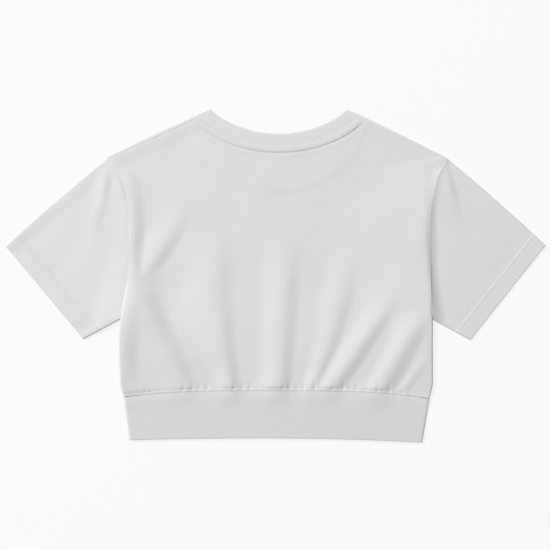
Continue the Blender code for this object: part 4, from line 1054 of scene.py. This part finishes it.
def make_waistband(material):
    """Tube of two doubled layers, each outer skin ribbed as a cosine across and rolled under at the hem."""
    rows = stations((4.0, 1.0), (BAND_DEPTH - 5.0, 6.4), (BAND_DEPTH, 0.9)) / BAND_DEPTH
    ribs = round(WAIST_WIDE / RIB_PITCH)
    shares = np.linspace(0.0, 1.0, COLUMNS_A_RIB * ribs + 1)[:-1]
    middle_z = WAIST_RIB + GAP / 2.0
    layers = []
    for upper in (False, True):
        u, v = np.meshgrid(1.0 - shares if upper else shares, rows)
        plan = waistband_plan(u, v)
        distance = np.minimum(u, 1.0 - u) * WAIST_WIDE
        rise = quarter(distance / WAISTBAND_EDGE)
        below = v * BAND_DEPTH
        full = 0.5 + 0.5 * quarter((BAND_DEPTH - below) / HEM_FOLD)
        rib = RIB_RELIEF * (0.5 - 0.5 * np.cos(2.0 * math.pi * ribs * u)) * ease(below / RIB_START)
        rib = rib + BAND_TUCK * tuck(below)
        if upper:
            lift = waist_bumps(plan[..., 0]) * hump(below / WAIST_BUMP_REACH)
            feet = fold_lift(plan[..., 0], waist_seam(plan[..., 0]), BACK_FOLDS)
            lift = lift + SEAM_SHARE * feet * hump(below / FEET_REACH)
            low = WAIST_RIB + GAP + lift
            high = 2.0 * WAIST_RIB + GAP + lift - SEAM_PRESS * hump(below / PRESS_REACH)
            outer_z = mix(middle_z, mix((low + high) / 2.0, high, full) - rib, rise)
            inner_z = mix(middle_z, mix((low + high) / 2.0, low, full), rise)
        else:
            half = WAIST_RIB / 2.0
            outer_z = mix(middle_z, half - half * full + rib, rise)
            inner_z = mix(middle_z, half + half * full, rise)
        shift = inset(distance, WAIST_RIB * full, WAISTBAND_EDGE) * np.where(u < 0.5, 1.0, -1.0)
        inner = np.dstack((moved(plan, shift, ACROSS), inner_z))
        place = np.stack(((u - 0.5) * WAIST_WIDE, below), axis=-1)
        layers.append((np.dstack((plan, outer_z)), inner, place))
    return put_tube("waistband_rib", *layers, material, "rib")


# ---- Neckband ------------------------------------------------------------------------------------------
BAND_SHARES = (0.0, 0.04, 0.09, 0.2, 0.35, 0.5, 0.65, 0.8, 0.9, 0.96)
SEAM_ROUND = (0.05, 0.2)   # share of the width over which it rounds down to its seam, and of the height lost
EDGE_ROUND = 0.09          # share of the width over which its folded edge rounds down
NECK_TURN = np.linspace(15.0, 165.0, 11)    # degrees round the fold at each shoulder
NECK_STEPS = 400           # points between which the curve's length is measured
FLAT_START = 0.06          # the ribs set in over this share of the width
CROWN = 0.15               # how far each side of the back half bulges along its middle
RIB_WIDE = 20.0            # width of the band in its cloth coordinates
JOIN_ANGLE = (0.588, 0.522)    # the band's own join, at its seam and at its edge
JOIN_DEPTH = 0.3
JOIN_REACH = 0.0065 * math.pi    # how far it reaches to either side, as an angle
NO_JOIN = -1.0             # an angle that is clear of it


def neck_section():
    """Share of the width and of half the thickness, once round a section from the seam over the top."""
    shares = np.array(BAND_SHARES)
    seam_share, seam_drop = SEAM_ROUND
    by_seam = 1.0 - seam_drop * (1.0 - quarter(shares / seam_share))
    height = np.where(shares < 0.5, by_seam, quarter((1.0 - shares) / EDGE_ROUND))
    top = np.column_stack((shares, height))
    return np.concatenate((top, ((1.0, 0.0),), (top * (1.0, -1.0))[::-1]))


def neck_half(part, start, end):
    """Angles round half of the neck at even steps along its seam, four to a rib, and the length to each."""
    fine_angles = np.linspace(start, end, NECK_STEPS)
    run = run_along(neck_curve(fine_angles, part + " seam"))
    marks = np.linspace(0.0, run[-1], COLUMNS_A_RIB * round(run[-1] / RIB_PITCH) + 1)
    return np.interp(marks, run, fine_angles), marks


def make_neckband(material):
    """Ring of closed sections carried along the neck: back half, a turn at each shoulder and front half."""
    front_z = NECK_RIB / 2.0
    back_z = front_z + NECK_RIB + GAP
    middle_z, half_step = (back_z + front_z) / 2.0, (back_z - front_z) / 2.0
    plans, levels, faces_z, faces_xy, along = [], [], [], [], []
    travelled = 0.0
    halves = (("back", back_z, 1.0, (0.0, math.pi)), ("front", front_z, -1.0, (math.pi, 0.0)))
    for part, level, up, (start, end) in halves:
        angle, marks = neck_half(part, start, end)
        count = len(angle)
        plans.append(np.stack((neck_curve(angle, part + " seam"), neck_curve(angle, part + " edge")), axis=1))
        levels.append(np.full(count, level))
        faces_z.append(np.full(count, up))
        faces_xy.append(np.zeros((count, 2)))
        dip = RIB_RELIEF * 0.5 * (1.0 - np.cos(2.0 * math.pi * marks / RIB_PITCH))
        join = angle if part == "back" else np.full(count, NO_JOIN)
        along.append(np.column_stack((travelled + marks, dip, join)))
        travelled += marks[-1]
        seam = neck_curve(np.array(end), "back seam")
        edge = neck_curve(np.array(end), "back edge")
        across = (edge - seam) / np.linalg.norm(edge - seam)
        out = np.array((across[1], -across[0])) if part == "back" else np.array((-across[1], across[0]))
        turn = np.radians(NECK_TURN if part == "back" else NECK_TURN[::-1])
        count = len(turn)
        move = out * (half_step * np.sin(turn))[:, None]
        plans.append(np.stack((seam + move, edge + move), axis=1))
        levels.append(middle_z + half_step * np.cos(turn))
        faces_z.append(np.cos(turn))
        faces_xy.append(out * np.sin(turn)[:, None])
        along.append(np.column_stack((np.full(count, travelled), np.zeros(count), np.full(count, NO_JOIN))))
    plans, levels = np.concatenate(plans), np.concatenate(levels)
    faces_z, faces_xy, along = np.concatenate(faces_z), np.concatenate(faces_xy), np.concatenate(along)
    share, side = neck_section().T
    join = mix(JOIN_ANGLE[0], JOIN_ANGLE[1], share[None, :])
    groove = JOIN_DEPTH * hump((along[:, 2:3] - join) / JOIN_REACH)
    flat = (np.abs(side) > 0.5) * ease(share / FLAT_START)
    crown = CROWN * hump((share - 0.5) / 0.5)[None, :] * (faces_z[:, None] > 0.5)
    half = NECK_RIB / 2.0 * side - np.sign(side) * (flat * (along[:, 1:2] + groove) - crown)
    across = plans[:, 1] - plans[:, 0]
    xy = plans[:, :1] + across[:, None] * share[None, :, None] + faces_xy[:, None] * half[..., None]
    z = levels[:, None] + faces_z[:, None] * half
    place = np.stack(np.broadcast_arrays(along[:, :1], share * RIB_WIDE), axis=-1)
    rows, around = z.shape
    i = np.arange(around)
    last = (rows - 1) * around
    close = np.stack((last + i, last + (i + 1) % around, (i + 1) % around, i), axis=1)
    faces = np.concatenate((grid_quads(rows, around, wrap=True), close))
    return put_mesh("neckband_rib", stack(xy, z), faces, place.reshape(-1, 2), material)


# ---- Stitches ------------------------------------------------------------------------------------------
STITCH_PITCH = 2.9
STITCH_LENGTH = 2.3
STITCH_THICK = 0.34
STITCH_RINGS = ((-0.5, 0.45), (-0.36, 0.9), (0.36, 0.9), (0.5, 0.45))    # share of the length, of the radius
STITCH_SIDES = 5
WAIST_LINE_INSET = 6.0     # the waist row stops this far from the sides
HEM_LINE_ENDS = (0.03, 0.97)    # and a hem row at these shares of the cuff
NECK_LINE_ENDS = 0.05      # and the front neck row at this angle from the shoulders
STITCH_PROUD = 0.2         # share of its thickness by which a thread's middle stands over the cloth
STITCH_LOOK = 0.5          # it points along the run from this far behind its middle to this far ahead
CAST_FROM = 0.05           # metres over or under the table, from where the cloth is looked for


def stitch_shape():
    """One thread between two needle holes: a short rounded bar, as points and quads."""
    turns = np.arange(STITCH_SIDES) * 2.0 * math.pi / STITCH_SIDES
    rings = [np.column_stack((np.full(STITCH_SIDES, along), radius * np.cos(turns), radius * np.sin(turns)))
             for along, radius in STITCH_RINGS]
    points = np.concatenate(rings + [np.array(((-0.5, 0.0, 0.0), (0.5, 0.0, 0.0)))])
    return points, grid_quads(len(STITCH_RINGS), STITCH_SIDES, wrap=True)


def put_stitches(name, runs, material):
    """Copies of the thread along each run, laid on the cloth that the run crosses, as one mesh."""
    shape, quads = stitch_shape()
    last = (len(STITCH_RINGS) - 1) * STITCH_SIDES
    tail = len(STITCH_RINGS) * STITCH_SIDES
    caps = []
    for k in range(STITCH_SIDES):
        after = (k + 1) % STITCH_SIDES
        caps += [(after, k, tail), (last + k, last + after, tail + 1)]
    points = []
    for line, tree, above in runs:
        way = 1.0 if above else -1.0
        run = run_along(line)
        total = int(run[-1] / STITCH_PITCH)
        for k in range(total):
            at = (k + 0.5) * run[-1] / total
            behind, centre, ahead = (np.array([np.interp(at + step, run, line[:, axis]) for axis in (0, 1)])
                                     for step in (-STITCH_LOOK, 0.0, STITCH_LOOK))
            start = Vector((centre[0] * MM, centre[1] * MM, CAST_FROM * way))
            hit, normal, _, _ = tree.ray_cast(start, Vector((0.0, 0.0, -way)))
            if hit is None:
                continue
            up = np.array(normal) * (way if normal.z > 0.0 else -way)
            forward = np.append(ahead - behind, 0.0)
            forward = forward - up * (forward @ up)
            forward = forward / np.linalg.norm(forward)
            aside = np.cross(up, forward)
            local = shape * (STITCH_LENGTH, STITCH_THICK / 2.0, STITCH_THICK / 2.0)
            lie = np.array(hit) / MM + up * STITCH_THICK * STITCH_PROUD
            points.append(lie + local[:, :1] * forward + local[:, 1:2] * aside + local[:, 2:] * up)
    starts = len(shape) * np.arange(len(points))[:, None, None]
    bars = (quads[None] + starts).reshape(-1, 4).tolist()
    ends = (np.array(caps)[None] + starts).reshape(-1, 3).tolist()
    mesh = bpy.data.meshes.new(name)
    mesh.from_pydata(np.concatenate(points) * MM, [], bars + ends)
    mesh.update()
    mesh.shade_smooth()
    return put_piece(name, mesh, material)


def tree_of(piece):
    return BVHTree.FromPolygons([v.co.copy() for v in piece.data.vertices],
                                [tuple(p.vertices) for p in piece.data.polygons])


def offset_line(line, by):
    """The polyline moved sideways by a distance, along its own normals in plan."""
    along = np.gradient(line, axis=0)
    along = along / np.linalg.norm(along, axis=1)[:, None]
    return line + np.column_stack((-along[:, 1], along[:, 0])) * by


def waist_line(above):
    x = np.linspace(-WAIST_HALF[LEFT] + WAIST_LINE_INSET, WAIST_HALF[RIGHT] - WAIST_LINE_INSET, 200)
    return np.column_stack((x, waist_seam(x) + above))


def hem_line(row, needle, upper):
    s = np.linspace(*HEM_LINE_ENDS, 60)
    r = sleeve_rows(row, s, np.array((1.0,)), np.array((needle,)), upper)[0]
    return sleeve_plan(s, r, row, upper)


# ---- Studio --------------------------------------------------------------------------------------------
LENS, SENSOR = 85.0, 36.0
VIEW_WIDTH = 797.5                                       # millimetres across the picture at the cloth
VIEW_MIDDLE = (-0.5, 1.8)
KEY_LEAN = 48.0                                          # degrees off straight down
KEY_FROM = 140.0                                         # degrees round from +X
KEY_DISTANCE = 9.0                                       # metres
KEY_SIZE = 2.8
KEY_POWER = 790.0
SKY = 0.42
FLOOR_WHITE = 0.12
FLOOR_GLOW = 0.815
FLOOR_REACH = 6.0                                        # metres to each side
FLOOR_Z = -0.0004
CLOTH_Z = 0.004                                          # height in metres at which VIEW_WIDTH is measured
CLIP_END = 50.0


def make_floor():
    floor_mesh = bpy.data.meshes.new("floor")
    corners = [(FLOOR_REACH * x, FLOOR_REACH * y, FLOOR_Z) for x, y in ((-1, -1), (1, -1), (1, 1), (-1, 1))]
    floor_mesh.from_pydata(corners, [], ((0, 1, 2, 3),))
    floor = bpy.data.objects.new("floor", floor_mesh)
    bpy.context.scene.collection.objects.link(floor)
    table = plain("light table", grey=FLOOR_WHITE, roughness=0.95)
    shader = table.node_tree.nodes["Principled BSDF"]
    shader.inputs["Emission Color"].default_value = (1.0, 1.0, 1.0, 1.0)
    shader.inputs["Emission Strength"].default_value = FLOOR_GLOW
    floor_mesh.materials.append(table)


def make_lights():
    world = bpy.data.worlds.new("studio")
    bpy.context.scene.world = world
    world.use_nodes = True
    sky = world.node_tree.nodes["Background"]
    sky.inputs["Color"].default_value = (1.0, 1.0, 1.0, 1.0)
    sky.inputs["Strength"].default_value = SKY
    key_light = bpy.data.lights.new("key", "AREA")
    key_light.shape = "DISK"
    key_light.energy = KEY_POWER
    key_light.size = KEY_SIZE
    key = bpy.data.objects.new("key", key_light)
    bpy.context.scene.collection.objects.link(key)
    lean, turn = math.radians(KEY_LEAN), math.radians(KEY_FROM)
    towards = Vector((math.sin(lean) * math.cos(turn), math.sin(lean) * math.sin(turn), math.cos(lean)))
    key.location = towards * KEY_DISTANCE
    key.rotation_euler = towards.to_track_quat("Z", "Y").to_euler()


def make_camera():
    """Camera straight above, as far off as its lens needs to see the width at the height of the cloth."""
    camera_data = bpy.data.cameras.new("camera")
    camera_data.lens = LENS
    camera_data.sensor_width = SENSOR
    camera_data.clip_end = CLIP_END
    camera = bpy.data.objects.new("camera", camera_data)
    bpy.context.scene.collection.objects.link(camera)
    away = VIEW_WIDTH * MM * LENS / SENSOR
    camera.location = (VIEW_MIDDLE[0] * MM, VIEW_MIDDLE[1] * MM, away + CLOTH_Z)
    bpy.context.scene.camera = camera
    bpy.context.scene.view_settings.view_transform = "Standard"
    bpy.context.scene.view_settings.look = "None"


# ---- Making --------------------------------------------------------------------------------------------
jersey = knit("off-white jersey", grey=0.662, relief=0.00005)
neck_rib = knit("off-white neck rib", grey=0.66, relief=0.00004)
# the waistband's rib is the neck rib's fabric with its grey lowered as painted shade, darkening it for the
# self-shadow of its deeper ribs
waist_rib_painted_shade = knit("off-white waist rib with painted shade", grey=0.633, relief=0.00004)
thread = plain("off-white thread", grey=0.6, roughness=0.8)

back = make_back(jersey)
front = make_front(jersey)
sleeves = [make_sleeve(row, jersey) for row in SLEEVES]
neckband = make_neckband(neck_rib)
waistband = make_waistband(waist_rib_painted_shade)

back_tree, front_tree = tree_of(back), tree_of(front)
front_neck = neck_curve(np.linspace(NECK_LINE_ENDS, math.pi - NECK_LINE_ENDS, 120), "front seam")
neck_runs = [(offset_line(back_neck_line(80), -TOPSTITCH - GAP), back_tree, True),
             (offset_line(front_neck, -TOPSTITCH - GAP), front_tree, False)]
put_stitches("neck_topstitch", neck_runs, thread)
waist_runs = [(waist_line(WAIST_TOPSTITCH), back_tree, True),
              (waist_line(WAIST_TOPSTITCH), front_tree, False)]
put_stitches("waist_topstitch", waist_runs, thread)
for row, sleeve in zip(SLEEVES, sleeves):
    sleeve_tree = tree_of(sleeve)
    hem_runs = [(hem_line(row, needle, upper), sleeve_tree, upper)
                for needle in HEM_NEEDLES for upper in (True, False)]
    put_stitches(row[0] + "_hem_stitch", hem_runs, thread)

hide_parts("back_panel")
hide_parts("front_panel")
for row, sleeve in zip(SLEEVES, sleeves):
    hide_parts(row[0])
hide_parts("neckband")
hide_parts("waistband")

make_floor()
make_lights()
make_camera()
